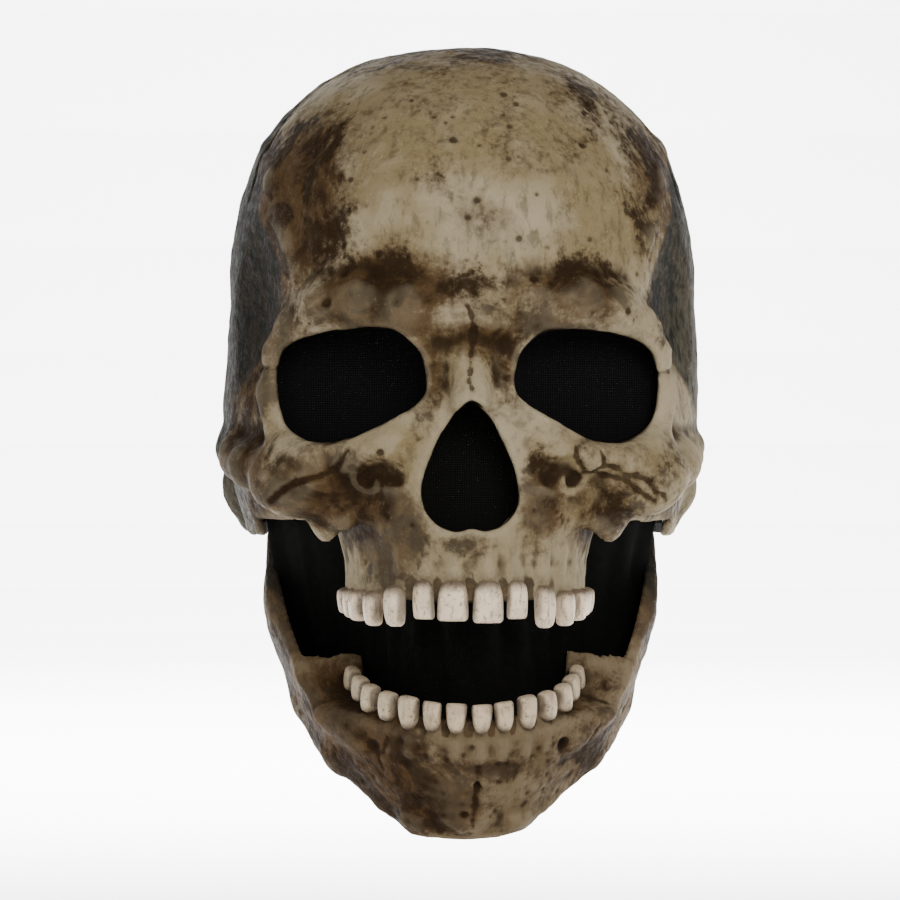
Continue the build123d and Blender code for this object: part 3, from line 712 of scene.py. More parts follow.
def build_skull(step):
    """The skull's skin as a surface, with the paint masks at its points."""
    solid, deep, hollow = (form.both_sides() for form in sculpt_skull(step))
    marks = solid.copy()
    marks.values[:] = 0
    weather_skull(solid, marks)
    for form in (solid, hollow, deep):  # the left cheek is flatter than the right one
        form.swell((97, -30, -12), (20, 46, 34), -3.8)
    solid.swell((-92, -20, 20), (16, 40, 26), 2.0)
    for side in (-1, 1):  # the skin stays whole behind the deep pits
        hollow.swell((side * 40.5, -98, -11), (12, 14, 12), -5.0)
        hollow.swell((side * 90, 8, -8), (12, 12, 12), -2.5)
    skin = solid.copy()
    skin.values = soft_max(solid.values, -hollow.values, 0.6)
    points, quads = surface(skin)
    masks = paint_masks(points, solid, deep, marks, STAINS)
    # the temple mask also carries the painted shade down the skull's sides
    masks["temple"] = temple_paint_and_side_shade(points)
    gaps = between_teeth(points, "upper") * (1 - ramp(points[:, 2], -49.5, -44.0))
    paint_gum(masks, gaps, 1 - ramp(points[:, 2], -56.0, -53.0))
    return points, quads, masks


# ---- The jaw, modelled closed ----

JAW_SIDE = Outline((  # y and z of the jaw seen from the side
    (-9, 9), (-3, 12), (5, 11.5), (9.4, 6), (9.0, -8), (8.6, -34), (7, -60), (0, -83), (-24, -101),
    (-58, -118), (-84, -128), (-106, -130), (-124, -129), (-130, -104), (-128, -82), (-100, -79.5),
    (-64, -79.5), (-53, -69),
    (-46, -44), (-41, -16), (-36, -4.5), (-28, -5), (-21, -13), (-14, -8),
), margin=16.0)
CHIN_FLOOR_Z, CHIN_FLOOR_END_Y = -124.0, -75.0
JAW_WALL = 4.4
PIVOT_BOSS = (75.2, 80.6, 12.0, 4.05)  # inner and outer face, radius, bore


def lower_band():
    """The gum of the lower teeth, which narrows down to the chin."""
    levels = (-118.0, -104.0, -92.0, -84.0, LOWER_GUM_Z, LOWER_GUM_Z + 4.5)
    return arch_band(LOWER_ARCH, levels, (-9.0, -3.0, 0.6, 1.4, 0.4, -0.4), ARCH_THICKNESS, -42.0)


def sculpt_jaw(step):
    """The left half of the closed jaw: the solid form, and the hollow inside it."""
    low, high = (-3.0, -124.0, -136.0), (92.0, 20.0, 20.0)
    jaw, hollow = Field(low, high, step), Field(low, high, step)
    _, x, y, z = jaw.whole()
    levels, wides, longs = (np.array(column) for column in zip(*JAW_RINGS))
    jaw.values = egg(x, y, z, levels, wides, longs, 0.0).astype(np.float32)
    inside = egg(x, y, z, levels, wides - JAW_WALL, longs - JAW_WALL, 0.0)
    # the chin, the hollow over it and the lines that run down from the jaw's branch
    jaw.swell((0, -106, -119), (17, 16, 13), 3.6)
    jaw.swell((24, -100, -123), (13, 16, 10), 3.4)
    jaw.swell((0, -112, -100), (34, 18, 11), -3.0)
    jaw.swell((46, -84, -104), (26, 24, 14), -2.0)
    oblique = ((72, -40, -28), (69.5, -46, -50), (61.5, -55, -70), (53.5, -68, -84), (42, -82, -92))
    chain(jaw, oblique, (4.8, 5, 5.2, 4.6, 3.0), 8.0)
    lower_border = ((66, -4, -78), (60.5, -28, -96), (47.5, -56, -110), (32, -76, -119))
    chain(jaw, lower_border, (6.0, 5.4, 4.8, 4.2), 8.0)
    jaw.swell((82, -12, -66), (14, 40, 28), 3.4)
    # its side view, then the ledge that slopes down from the row of teeth to the outside
    side = JAW_SIDE.distance(y + 0 * z, z + 0 * y)
    jaw.values = soft_max(jaw.values, side + 0 * x, 3.0)
    away = ellipse_flat(x, y - LOWER_ARCH[2], LOWER_ARCH[0] + 4.0, LOWER_ARCH[1] + 4.0)
    slope = LOWER_GUM_Z - 1.0 - 0.42 * np.maximum(away, 0.0) + 0.9 * np.maximum(y + 66.0, 0.0)
    jaw.values = soft_max(jaw.values, z - slope, 4.0)
    jaw.put(lower_band(), 5.0)
    roots(jaw, LOWER_ARCH, TEETH["lower"], LOWER_GUM_Z, -1, 0.4, 12.0)
    # inside, the shelf under the teeth stays solid; the floor ends behind the chin
    floor = np.minimum(CHIN_FLOOR_Z - z + 0 * y, CHIN_FLOOR_END_Y - y + 0 * z)
    shelf = np.maximum(-(z - LOWER_GUM_Z + 9.0), -ellipse_flat(x, y - LOWER_ARCH[2], 40.5, 59.5))
    shelf = np.maximum(shelf, y + 50.0)
    hollow.values = np.maximum(np.maximum(inside, floor), -shelf).astype(np.float32)
    for a, b in zip(oblique[:-1], oblique[1:]):
        hollow.carve(rod(a, b, 6.0), 3.0)
    hollow.carve(rod((73, -34, -12), oblique[0], 4.6, 6.0), 3.0)
    hollow.carve(lower_band(), 1.0)
    for form in (jaw, hollow):
        form.swell((44, -74, -120), (30, 46, 18), -3.0)
    return jaw, hollow


def pivot_boss(skin):
    """The flat, bored boss on each side that the hinge plate and the washer lie on."""
    inner, outer, radius, bore = PIVOT_BOSS
    for side in (-1, 1):
        low = (min(side * (inner - 4), side * (outer + 6)), -20, -20)
        high = (max(side * (inner - 4), side * (outer + 6)), 20, 20)
        cut, x, y, z = skin.window(low, high)
        away = np.sqrt(y**2 + z**2)
        slab = np.maximum(inner - side * x, side * x - outer)
        values = soft_min(skin.values[cut], np.maximum(slab, away - radius), 1.5)
        values = np.where(away < radius + 1.5, np.maximum(values, slab), values)
        skin.values[cut] = np.maximum(values, bore - away)


JAW_STAINS = (  # on the closed jaw, like STAINS
    ((-46, -80, -100), (48, 60, 50), 1.8),
    ((56, -70, -104), (34, 52, 38), 0.9),
    ((0, -112, -97), (44, 24, 10), 0.85),
    ((-14, -104, -112), (28, 24, 20), 1.4),
    ((-72, -30, -60), (20, 60, 70), 1.0),
    ((74, -30, -50), (18, 60, 60), 0.9),
    ((0, -60, -128), (50, 40, 9), 0.7),
)
JAW_CRACKS = (
    ((3.5, -108, -94), (4.0, -104, -103), (3.0, -106, -112), (2.5, -104, -122)),
    ((-30, -96, -88), (-33, -92, -96), (-31, -90, -101)),
    ((52, -78, -88), (50, -80, -97)),
)


def weather_jaw(jaw, marks):
    """The jaw's unevenness, which keeps off the hinge, and its pits and cracks."""
    _, _, y, z = jaw.whole()
    clear = ramp(np.sqrt(y**2 + z**2), 33.0, 50.0)
    for spacing, amount, seed in ((30, 0.7, 11), (13, 0.45, 12), (6.5, 0.28, 13), (3.2, 0.2, 14)):
        jaw.values += clear * amount * smooth_noise(seed, jaw, spacing)
    middle = (0.0, -40.0, -100.0)
    for n, points in enumerate(JAW_CRACKS):
        line = [onto(jaw, point, middle) for point in wandering(points, 80 + n, 3.0, 0.8)]
        cut_crack(jaw, marks, line, 0.9, 0.9)
    pits = [(-36.5, -92, -92, 3.2), (38.5, -91, -92, 3.0), (-1, -106, -116, 1.8), (-24, -104, -96, 1.3)]
    rng = np.random.default_rng(10)
    for _ in range(150):
        angle = rng.uniform(-1.6, 1.6)
        across, along = 60 * math.sin(angle), -40 - 66 * math.cos(angle)
        pits.append((across, along, rng.uniform(-126, -84), rng.uniform(0.8, 1.6)))
    for n, (*place, size) in enumerate(pits):
        place = onto(jaw, place, (0.0, -40.0, place[2]))
        depth, mark = (2.2, 1.4) if n < 3 else (0.5, 0.5)
        cut_pit(jaw, marks, place, size, depth, mark)


def swung(points):
    """Points of the closed jaw, swung open to its rest position."""
    turn = math.radians(JAW_OPEN)
    x, y, z = np.asarray(points, np.float64).T
    return np.stack((x, y * math.cos(turn) - z * math.sin(turn), y * math.sin(turn) + z * math.cos(turn)), 1)


def build_jaw(step):
    """The jaw's skin as a surface, swung open, with the paint masks at its points."""
    half, hollow = sculpt_jaw(step)
    solid, hollow = half.both_sides(), hollow.both_sides()
    deep = solid.copy()
    marks = solid.copy()
    marks.values[:] = 0
    weather_jaw(solid, marks)
    skin = solid.copy()
    skin.values = soft_max(solid.values, -hollow.values, 0.8)
    pivot_boss(skin)
    points, quads = surface(skin)
    masks = paint_masks(points, solid, deep, marks, JAW_STAINS)
    masks["temple"] = ramp(points[:, 2], -72, -30) * ramp(points[:, 1], -64, -46) * 0.92
    gaps = between_teeth(points, "lower") * ramp(points[:, 2], -84.0, -79.5)
    paint_gum(masks, gaps, ramp(points[:, 2], -77.6, -75.2) * (1 - ramp(points[:, 1], -62, -50)))
    return swung(points), quads, masks


# ---- The form of a tooth ----

TOOTH_SHARES = (0.0, 0.02, 0.06, 0.12, 0.2, 0.32, 0.46, 0.6, 0.74, 0.84, 0.91, 0.955, 0.985, 1.0)
LOWER_SHARES = (0, 0.06, 0.15, 0.3, 0.5, 0.75, 0.93, 1.0)
WIDTH_SHAPES = {  # shares of the height from the gum to the edge, and the share of the whole width at each
    "upper_incisor": (
        (0, 0.05, 0.12, 0.25, 0.45, 0.7, 0.88, 0.96, 1.0),
        (0.44, 0.64, 0.78, 0.90, 0.97, 1.0, 1.0, 0.97, 0.88),
    ),
    "upper_canine": (
        (0, 0.05, 0.12, 0.25, 0.45, 0.62, 0.8, 0.92, 1.0),
        (0.42, 0.62, 0.78, 0.92, 1.0, 1.0, 0.93, 0.78, 0.50),
    ),
    "upper_back": ((0, 0.08, 0.2, 0.4, 0.6, 0.8, 0.92, 1.0), (0.40, 0.66, 0.84, 0.97, 1.0, 0.92, 0.76, 0.48)),
    "lower_incisor": (LOWER_SHARES, (0.26, 0.46, 0.62, 0.78, 0.90, 0.98, 1.0, 0.95)),
    "lower_canine": (LOWER_SHARES, (0.26, 0.44, 0.60, 0.77, 0.90, 1.0, 0.97, 0.84)),
    "lower_back": (LOWER_SHARES, (0.30, 0.50, 0.66, 0.84, 0.95, 1.0, 0.93, 0.74)),
}


def squarer(value, power):
    """A sine or cosine bent so that a circle becomes a rounded square."""
    return math.copysign(abs(value) ** power, value)


def tube_faces(rings, count, start=0, capped=False):
    """The faces of a tube of rings of points, with flat ends if it is capped."""
    faces = []
    for ring in range(rings - 1):
        for n in range(count):
            a, b = start + ring * count + n, start + ring * count + (n + 1) % count
            faces.append((a, b, b + count, a + count))
    if capped:
        last = start + (rings - 1) * count
        faces.append(tuple(start + k for k in range(count - 1, -1, -1)))
        faces.append(tuple(last + k for k in range(count)))
    return faces


def tooth_rings(row, kind, width, depth, height):
    """Levels of a tooth from its rounded gum end to its edge, with its half-width and half-depth at each."""
    front = kind.endswith("incisor")
    shape = WIDTH_SHAPES[f"{row}_{'incisor' if front else 'canine' if kind == 'canine' else 'back'}"]
    rings = []
    for share in TOOTH_SHARES:
        wide = float(np.interp(share, *shape))
        deep = math.sin(min(1.0, 0.25 + share / 0.22) * math.pi / 2)
        deep *= 1.0 - (0.55 if front else 0.25) * share**1.5
        if share > 0.9:
            blunt = math.sqrt(max(0.0, 1.0 - ((share - 0.9) / 0.105) ** 2))
            deep *= 0.25 + 0.75 * blunt
            wide *= 0.86 + 0.14 * blunt
        rings.append((share * height, 0.5 * width * wide, 0.5 * depth * deep))
    return rings


def tooth_mesh(row, arch, gum_z, up, side, kind, x, width, depth, height, rng):
    """Points and faces of one tooth, lofted through rounded sections."""
    (across, along), heading = on_arch(arch, x)
    width *= 0.96 + 0.04 * rng.uniform(-1, 1)
    height *= 1.0 + 0.03 * rng.uniform(-1, 1)
    lean, twist = 0.05 * rng.uniform(-1, 1), math.radians(5 * rng.uniform(-1, 1))
    heading = heading + twist
    right = np.array((math.cos(heading), math.sin(heading), 0))
    out = np.array((math.sin(heading), -math.cos(heading), 0))
    if kind in ("first_molar", "second_molar"):  # set further in, and slimmer
        across, depth = across - 1.6, 0.84 * depth
    count = 28
    points = []
    for level, half_width, half_depth in tooth_rings(row, kind, width, depth, height):
        for n in range(count):
            turn = 2 * math.pi * n / count
            c, s = math.cos(turn), math.sin(turn)
            u = half_width * squarer(c, 0.78)
            v = half_depth * squarer(s, 0.86)
            ridge = 0.06 * math.cos(5.0 * u / half_width) * max(s, 0.0) if kind.endswith("incisor") else 0.0
            bow = 1.5 + 0.5 * math.sin(math.pi * level / height)
            place = np.array((across, along, gum_z)) + right * (u + lean * level) + out * (v + bow + ridge)
            points.append(place + np.array((0, 0, up * level)))
    rings = len(points) // count
    for end, crown in ((0, 0.0), (rings - 1, 0.12)):
        middle = np.mean(points[end * count:(end + 1) * count], axis=0)
        points.append(middle + np.array((0, 0, up * crown)))
    faces = tube_faces(rings, count)
    for n in range(count):
        faces.append((rings * count, (n + 1) % count, n))
        top = (rings - 1) * count
        faces.append((rings * count + 1, top + n, top + (n + 1) % count))
    points = np.array(points)
    if (up > 0) != (side < 0):
        faces = [tuple(reversed(face)) for face in faces]
    points[:, 0] *= side
    return points, faces


# ---- Meshes ----


def mesh_object(name, points, faces):
    """A mesh object from points in millimetres."""
    mesh = bpy.data.meshes.new(name)
    if isinstance(faces, np.ndarray):
        mesh.vertices.add(len(points))
        mesh.vertices.foreach_set("co", (np.asarray(points, np.float32) * MM).ravel())
        size = faces.shape[1]
        mesh.loops.add(faces.size)
        mesh.loops.foreach_set("vertex_index", faces.astype(np.int32).ravel())
        mesh.polygons.add(len(faces))
        mesh.polygons.foreach_set("loop_start", np.arange(0, faces.size, size, dtype=np.int32))
        mesh.update(calc_edges=True)
    else:
        mesh.from_pydata([tuple(float(v) * MM for v in point) for point in points], [], faces)
    mesh.polygons.foreach_set("use_smooth", np.full(len(mesh.polygons), True))
    piece = bpy.data.objects.new(name, mesh)
    bpy.context.collection.objects.link(piece)
    return piece


def add_masks(piece, masks):
    """Values at a mesh's points, which its material reads by name."""
    for name, values in masks.items():
        attribute = piece.data.attributes.new(name, "FLOAT", "POINT")
        attribute.data.foreach_set("value", np.asarray(values, np.float32))


def apply_modifiers(piece):
    """Replaces a piece's mesh with what its modifiers make of it."""
    depsgraph = bpy.context.evaluated_depsgraph_get()
    mesh = bpy.data.meshes.new_from_object(piece.evaluated_get(depsgraph))
    piece.modifiers.clear()
    piece.data = mesh


def thin_out(piece, most_faces):
    """Fewer triangles where the surface is smooth."""
    piece.data.calc_loop_triangles()
    share = most_faces / len(piece.data.loop_triangles)
    if share < 1.0:
        modifier = piece.modifiers.new("thin", "DECIMATE")
        modifier.ratio = share
        apply_modifiers(piece)


def drop_crumbs(points, faces, smallest=400):
    """Only the connected parts of a surface that have at least this many points."""
    group = np.arange(len(points))
    while True:
        lowest = group[faces].min(1)
        before = group.copy()
        for column in range(faces.shape[1]):
            np.minimum.at(group, faces[:, column], lowest)
        group = group[group]
        if (group == before).all():
            break
    sizes = np.bincount(group, minlength=len(points))
    keep = sizes[group] >= smallest
    index = np.cumsum(keep) - 1
    return keep, index[faces[keep[faces].all(1)]]


# ---- Materials ----


class Paint:
    """A material in the making. Patterns sit in the piece's own space, in metres."""

    def __init__(self, name):
        self.material = bpy.data.materials.new(name)
        self.material.use_nodes = True
        self.nodes = self.material.node_tree.nodes
        self.links = self.material.node_tree.links
        self.shader = self.nodes["Principled BSDF"]
        self.place = self.nodes.new("ShaderNodeTexCoord").outputs["Object"]

    def put(self, socket, value):
        """Sets a socket to a number or a colour, or links it to another node's output."""
        if isinstance(value, bpy.types.NodeSocket):
            self.links.new(value, socket)
        elif isinstance(value, tuple) and len(value) == 3 and socket.type == "RGBA":
            socket.default_value = (*value, 1.0)
        else:
            socket.default_value = value

    def stretched(self, scale, turn=(0.0, 0.0, 0.0)):
        """The piece's coordinates, scaled and turned."""
        node = self.nodes.new("ShaderNodeMapping")
        self.put(node.inputs["Vector"], self.place)
        node.inputs["Scale"].default_value = scale
        node.inputs["Rotation"].default_value = turn
        return node.outputs[0]

    def noise(self, size, detail=4.0, rough=0.55, place=None, distort=0.0):
        """Cloudy noise with blotches of about this size, in metres."""
        node = self.nodes.new("ShaderNodeTexNoise")
        self.put(node.inputs["Vector"], place or self.place)
        settings = {"Scale": 1.0 / size, "Detail": detail, "Roughness": rough, "Distortion": distort}
        for name, value in settings.items():
            node.inputs[name].default_value = value
        return node.outputs["Fac"]

    def cells(self, size):
        """Distance from the middles of random cells of about this size."""
        node = self.nodes.new("ShaderNodeTexVoronoi")
        self.put(node.inputs["Vector"], self.place)
        node.inputs["Scale"].default_value = 1.0 / size
        return node.outputs["Distance"]

    def wave(self, size, axis="X", place=None, distort=0.0):
        """Even ridges this far apart."""
        node = self.nodes.new("ShaderNodeTexWave")
        node.bands_direction = axis
        self.put(node.inputs["Vector"], place or self.place)
        node.inputs["Scale"].default_value = 0.314 / size
        node.inputs["Distortion"].default_value = distort
        return node.outputs["Fac"]

    def mask(self, name):
        """A value that add_masks stored at the mesh's points."""
        node = self.nodes.new("ShaderNodeAttribute")
        node.attribute_name = name
        return node.outputs["Fac"]

    def math(self, kind, a, b):
        """Two values added, subtracted or multiplied."""
        node = self.nodes.new("ShaderNodeMath")
        node.operation = kind
        self.put(node.inputs[0], a)
        self.put(node.inputs[1], b)
        return node.outputs[0]

    def band(self, value, low, high, to_low=0.0, to_high=1.0):
        """A smooth step from to_low to to_high as the value passes from low to high."""
        node = self.nodes.new("ShaderNodeMapRange")
        node.interpolation_type = "SMOOTHSTEP"
        for slot, number in zip(node.inputs, (value, low, high, to_low, to_high)):
            self.put(slot, number)
        return node.outputs[0]

    def times(self, a, b):
        return self.math("MULTIPLY", a, b)

    def plus(self, a, b):
        return self.math("ADD", a, b)

    def mix(self, share, a, b):
        """Colour a, with this share of colour b over it."""
        node = self.nodes.new("ShaderNodeMix")
        node.data_type = "RGBA"
        self.put(node.inputs[0], share)
        self.put(node.inputs[6], a)
        self.put(node.inputs[7], b)
        return node.outputs[2]

    def bump(self, height, distance, below=None):
        """Relief, on top of the relief below it."""
        node = self.nodes.new("ShaderNodeBump")
        self.put(node.inputs["Height"], height)
        node.inputs["Distance"].default_value = distance
        if below is not None:
            self.put(node.inputs["Normal"], below)
        return node.outputs[0]

    def finish(self, colour, roughness, normal=None, **settings):
        """Joins everything to the shader; a setting's name is its socket's, with _ for each space."""
        self.put(self.shader.inputs["Base Color"], colour)
        self.put(self.shader.inputs["Roughness"], roughness)
        if normal is not None:
            self.put(self.shader.inputs["Normal"], normal)
        for name, value in settings.items():
            self.put(self.shader.inputs[name.replace("_", " ")], value)
        return self.material


def latex_material(name, light, pale, dark_share, streaks):
    """Painted latex that looks like old bone: tan, sponged with brown and grey, dark in every recess with a
    dark wash and painted shade.
    """
    paint = Paint(name)
    brown, umber = (0.062, 0.034, 0.0135), (0.020, 0.0112, 0.0052)
    black, grey = (0.005, 0.0042, 0.0035), (0.010, 0.0105, 0.0085)
    cloud = paint.noise(0.055, 3.0, 0.6)
    patch = paint.noise(0.021, 4.0, 0.65, distort=0.6)
    sponge = paint.noise(0.0032, 3.0, 0.7)
    speck = paint.noise(0.0011, 2.0, 0.6)
    fibres = paint.noise(0.004, 4.0, 0.65, paint.stretched((1.0, 1.0, streaks)))
    colour = paint.mix(paint.band(cloud, 0.42, 0.62), light, pale)
    # soft brown stains, stronger in broken patches
    broken = paint.band(patch, 0.36, 0.66)
    uneven = paint.plus(paint.times(patch, 1.3), paint.times(sponge, 0.9))
    stain = paint.band(paint.plus(paint.mask("stain"), uneven), 1.26, 2.12)
    worn = paint.band(stain, 0.0, 0.9, 0.40, 0.13)
    wash = paint.band(paint.plus(paint.times(cloud, 0.5), paint.times(patch, 0.5)), 0.47, 0.70)
    colour = paint.mix(paint.times(wash, dark_share), colour, brown)
    colour = paint.mix(paint.times(stain, 0.95), colour, brown)
    deep_stain = paint.band(paint.times(stain, broken), 0.12, 0.75)
    colour = paint.mix(paint.times(deep_stain, 0.85), colour, umber)
    # vertical fibres, then sponged dark and light specks
    colour = paint.mix(paint.times(paint.band(fibres, 0.50, 0.68), 0.42), colour, umber)
    dark_specks = paint.times(paint.band(sponge, 0.50, 0.60), paint.band(patch, 0.40, 0.62))
    colour = paint.mix(paint.times(dark_specks, 0.36), colour, umber)
    light_specks = paint.times(paint.band(speck, 0.56, 0.64), paint.band(sponge, 0.46, 0.40))
    colour = paint.mix(paint.times(light_specks, worn), colour, pale)
    # a dark wash and painted shade in recesses, and paint worn off what stands out
    recess = paint.band(paint.mask("recess"), 0.02, 0.75)
    colour = paint.mix(paint.times(recess, 0.85), colour, umber)
    proud = paint.band(paint.mask("recess"), -0.15, -0.7)
    colour = paint.mix(paint.times(proud, worn), colour, pale)
    # a dark wash and painted shade in the small dips as well
    dip_wash_and_shade = paint.band(paint.mask("dip"), 0.10, 0.8)
    colour = paint.mix(paint.times(dip_wash_and_shade, 0.75), colour, umber)
    edges = paint.band(paint.mask("dip"), -0.12, -0.8)
    colour = paint.mix(paint.times(edges, worn), colour, pale)
    # dark grey temple paint, and on the skull the painted shade down its sides
    temple = paint.band(paint.plus(paint.mask("temple"), paint.times(patch, 0.8)), 0.55, 1.2)
    temple = paint.times(temple, paint.band(fibres, 0.70, 0.30, 0.72, 1.0))
    colour = paint.mix(temple, colour, grey)
    colour = paint.mix(paint.band(paint.mask("crack"), 0.15, 0.7), colour, black)
    colour = paint.mix(paint.mask("inside"), colour, black)
    rough = paint.band(sponge, 0.35, 0.65, 0.56, 0.78)
    grain = paint.bump(speck, 0.0003)
    relief = paint.bump(sponge, 0.0009, grain)
    relief = paint.bump(paint.times(fibres, 0.5), 0.0008, relief)
    return paint.finish(colour, rough, relief, Specular_IOR_Level=0.03)


def tooth_material(name, ivory, stained):
    """Ivory with grey-brown specks and streaks, darker towards the gum."""
    paint = Paint(name)
    streak = paint.noise(0.0014, 3.0, 0.6, paint.stretched((1.0, 1.0, 0.22)))
    spots = paint.noise(0.0016, 3.0, 0.7)
    cloud = paint.noise(0.006, 3.0, 0.6)
    dirt = (0.16, 0.105, 0.055)
    colour = paint.mix(paint.band(cloud, 0.38, 0.66), ivory, tuple(0.80 * c for c in ivory))
    colour = paint.mix(paint.times(paint.band(streak, 0.52, 0.70), 0.55), colour, dirt)
    colour = paint.mix(paint.times(paint.band(spots, 0.56, 0.68), 0.6), colour, (0.07, 0.05, 0.03))
    gum = paint.plus(paint.mask("root"), paint.times(paint.math("SUBTRACT", cloud, 0.5), 0.5))
    colour = paint.mix(paint.times(paint.band(gum, 0.10, 0.95), stained), colour, (0.045, 0.028, 0.014))
    colour = paint.mix(paint.times(paint.mask("flank"), 0.85), colour, (0.02, 0.013, 0.008))
    relief = paint.bump(streak, 0.0003)
    return paint.finish(colour, paint.band(spots, 0.4, 0.6, 0.36, 0.52), relief, Specular_IOR_Level=0.25)


def weave_material(name, thread, gap, size, roughness=0.85, turn=0.0):
    """Woven or knitted cloth: two crossed rows of threads."""
    paint = Paint(name)
    place = paint.stretched((1.0, 1.0, 1.0), (0.0, turn, 0.0))
    warp, weft = paint.wave(size, "X", place, 0.3), paint.wave(size, "Z", place, 0.3)
    height = paint.times(warp, weft)
    worn = paint.noise(0.009, 3.0, 0.6)
    colour = paint.mix(paint.band(height, 0.05, 0.5), gap, thread)
    faded = tuple(0.55 * c for c in thread)
    colour = paint.mix(paint.times(paint.band(worn, 0.5, 0.7), 0.3), colour, faded)
    return paint.finish(colour, roughness, paint.bump(height, 0.0002), Specular_IOR_Level=0.05)


def webbing_material():
    """Black elastic webbing with ribs along its length."""
    paint = Paint("elastic")
    ribs = paint.wave(0.0011, "Z")
    picks = paint.noise(0.0007, 2.0, 0.5)
    height = paint.plus(ribs, paint.times(picks, 0.5))
    colour = paint.mix(paint.band(height, 0.2, 1.2), (0.006, 0.006, 0.006), (0.032, 0.031, 0.030))
    return paint.finish(colour, 0.8, paint.bump(height, 0.0003), Sheen_Weight=0.15, Specular_IOR_Level=0.25)


def foam_material():
    """Grey open-cell foam under a thin brushed lining."""
    paint = Paint("foam")
    cells = paint.cells(0.0011)
    cloud = paint.noise(0.012, 3.0, 0.6)
    colour = paint.mix(paint.band(cells, 0.1, 0.5), (0.028, 0.028, 0.030), (0.085, 0.083, 0.082))
    colour = paint.mix(paint.times(paint.band(cloud, 0.48, 0.7), 0.4), colour, (0.03, 0.028, 0.027))
    return paint.finish(colour, 0.9, paint.bump(cells, 0.0005), Sheen_Weight=0.2, Specular_IOR_Level=0.2)


def plastic_material(name, colour, roughness=0.42):
    """Moulded plastic with a fine spark-eroded texture and slight scuffs."""
    paint = Paint(name)
    grain = paint.noise(0.0006, 3.0, 0.6)
    scuff = paint.noise(0.006, 5.0, 0.7, paint.stretched((1.0, 0.3, 1.0)))
    scuffed = tuple(min(1.0, 1.7 * c + 0.01) for c in colour)
    tint = paint.mix(paint.times(paint.band(scuff, 0.52, 0.72), 0.5), colour, scuffed)
    rough = paint.band(scuff, 0.4, 0.7, roughness, roughness + 0.2)
    return paint.finish(tint, rough, paint.bump(grain, 0.0001))


def metal_material(name, colour, roughness, grain_axis):
    """Turned or brushed metal, dulled and tarnished in patches."""
    paint = Paint(name)
    scale = [1.0, 1.0, 1.0]
    scale[grain_axis] = 0.06
    brushed = paint.noise(0.0005, 3.0, 0.6, paint.stretched(tuple(scale)))
    tarnish = paint.noise(0.004, 4.0, 0.65)
    dull = tuple(0.5 * c for c in colour)
    tint = paint.mix(paint.times(paint.band(tarnish, 0.5, 0.72), 0.5), colour, dull)
    rough = paint.band(brushed, 0.3, 0.7, roughness, roughness + 0.18)
    return paint.finish(tint, rough, paint.bump(brushed, 0.00008), Metallic=1.0)


materials = {
    "skull_latex": latex_material("skull_latex", (0.205, 0.155, 0.080), (0.33, 0.272, 0.175), 0.6, 0.35),
    "jaw_latex": latex_material("jaw_latex", (0.100, 0.070, 0.035), (0.20, 0.152, 0.094), 0.95, 0.22),
    "upper_teeth": tooth_material("upper_teeth", (0.84, 0.665, 0.47), 0.85),
    "lower_teeth": tooth_material("lower_teeth", (0.58, 0.455, 0.30), 0.95),
    "foam": foam_material(),
    "elastic": webbing_material(),
    "hinge_plastic": plastic_material("hinge_plastic", (0.022, 0.022, 0.024)),
    "washer_nylon": plastic_material("washer_nylon", (0.62, 0.60, 0.54), 0.5),
    "insert_brass": metal_material("insert_brass", (0.60, 0.42, 0.17), 0.3, 0),
    "screw_steel": metal_material("screw_steel", (0.52, 0.52, 0.54), 0.28, 0),
    "plate_aluminium": metal_material("plate_aluminium", (0.66, 0.67, 0.69), 0.34, 2),
}
for name, *weave in (  # thread, gap, spacing, roughness, turn
    ("eye_mesh", (0.010, 0.009, 0.009), (0.002, 0.002, 0.002), 0.0009, 0.9),
    ("nose_mesh", (0.008, 0.008, 0.006), (0.002, 0.002, 0.002), 0.0009, 0.9),
    ("veil_fabric", (0.006, 0.006, 0.005), (0.002, 0.002, 0.002), 0.0006, 0.95, 0.785),
    ("patch_cloth", (0.05, 0.048, 0.045), (0.012, 0.012, 0.012), 0.0007),
    ("hem_binding", (0.030, 0.028, 0.026), (0.008, 0.008, 0.008), 0.0006),
    ("thread", (0.10, 0.095, 0.085), (0.03, 0.03, 0.028), 0.0004),
):
    materials[name] = weave_material(name, *weave)


def dress(piece, slot, body=None, replaces=()):
    """Gives a new piece its material and its place in the assembly."""
    piece.data.materials.clear()
    piece.data.materials.append(materials[slot])
    if body:
        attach(piece, body)
    if replaces:
        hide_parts(*replaces)
    return piece


# ---- Skull and jaw ----

STEP = 1.0  # between the fields' grid points
MOST_FACES = 190_000
for name, build, body, slot, node in (
    ("skull_skin", build_skull, "skull", "skull_latex", "cranium_shell"),
    ("jaw_skin", build_jaw, "jaw", "jaw_latex", "jaw_shell"),
):
    points, quads, masks = build(STEP)
    keep, faces = drop_crumbs(points, quads)
    piece = mesh_object(name, points[keep], faces)
    add_masks(piece, {key: values[keep] for key, values in masks.items()})
    thin_out(piece, MOST_FACES)
    dress(piece, slot, body, (node,))

# ---- Teeth ----

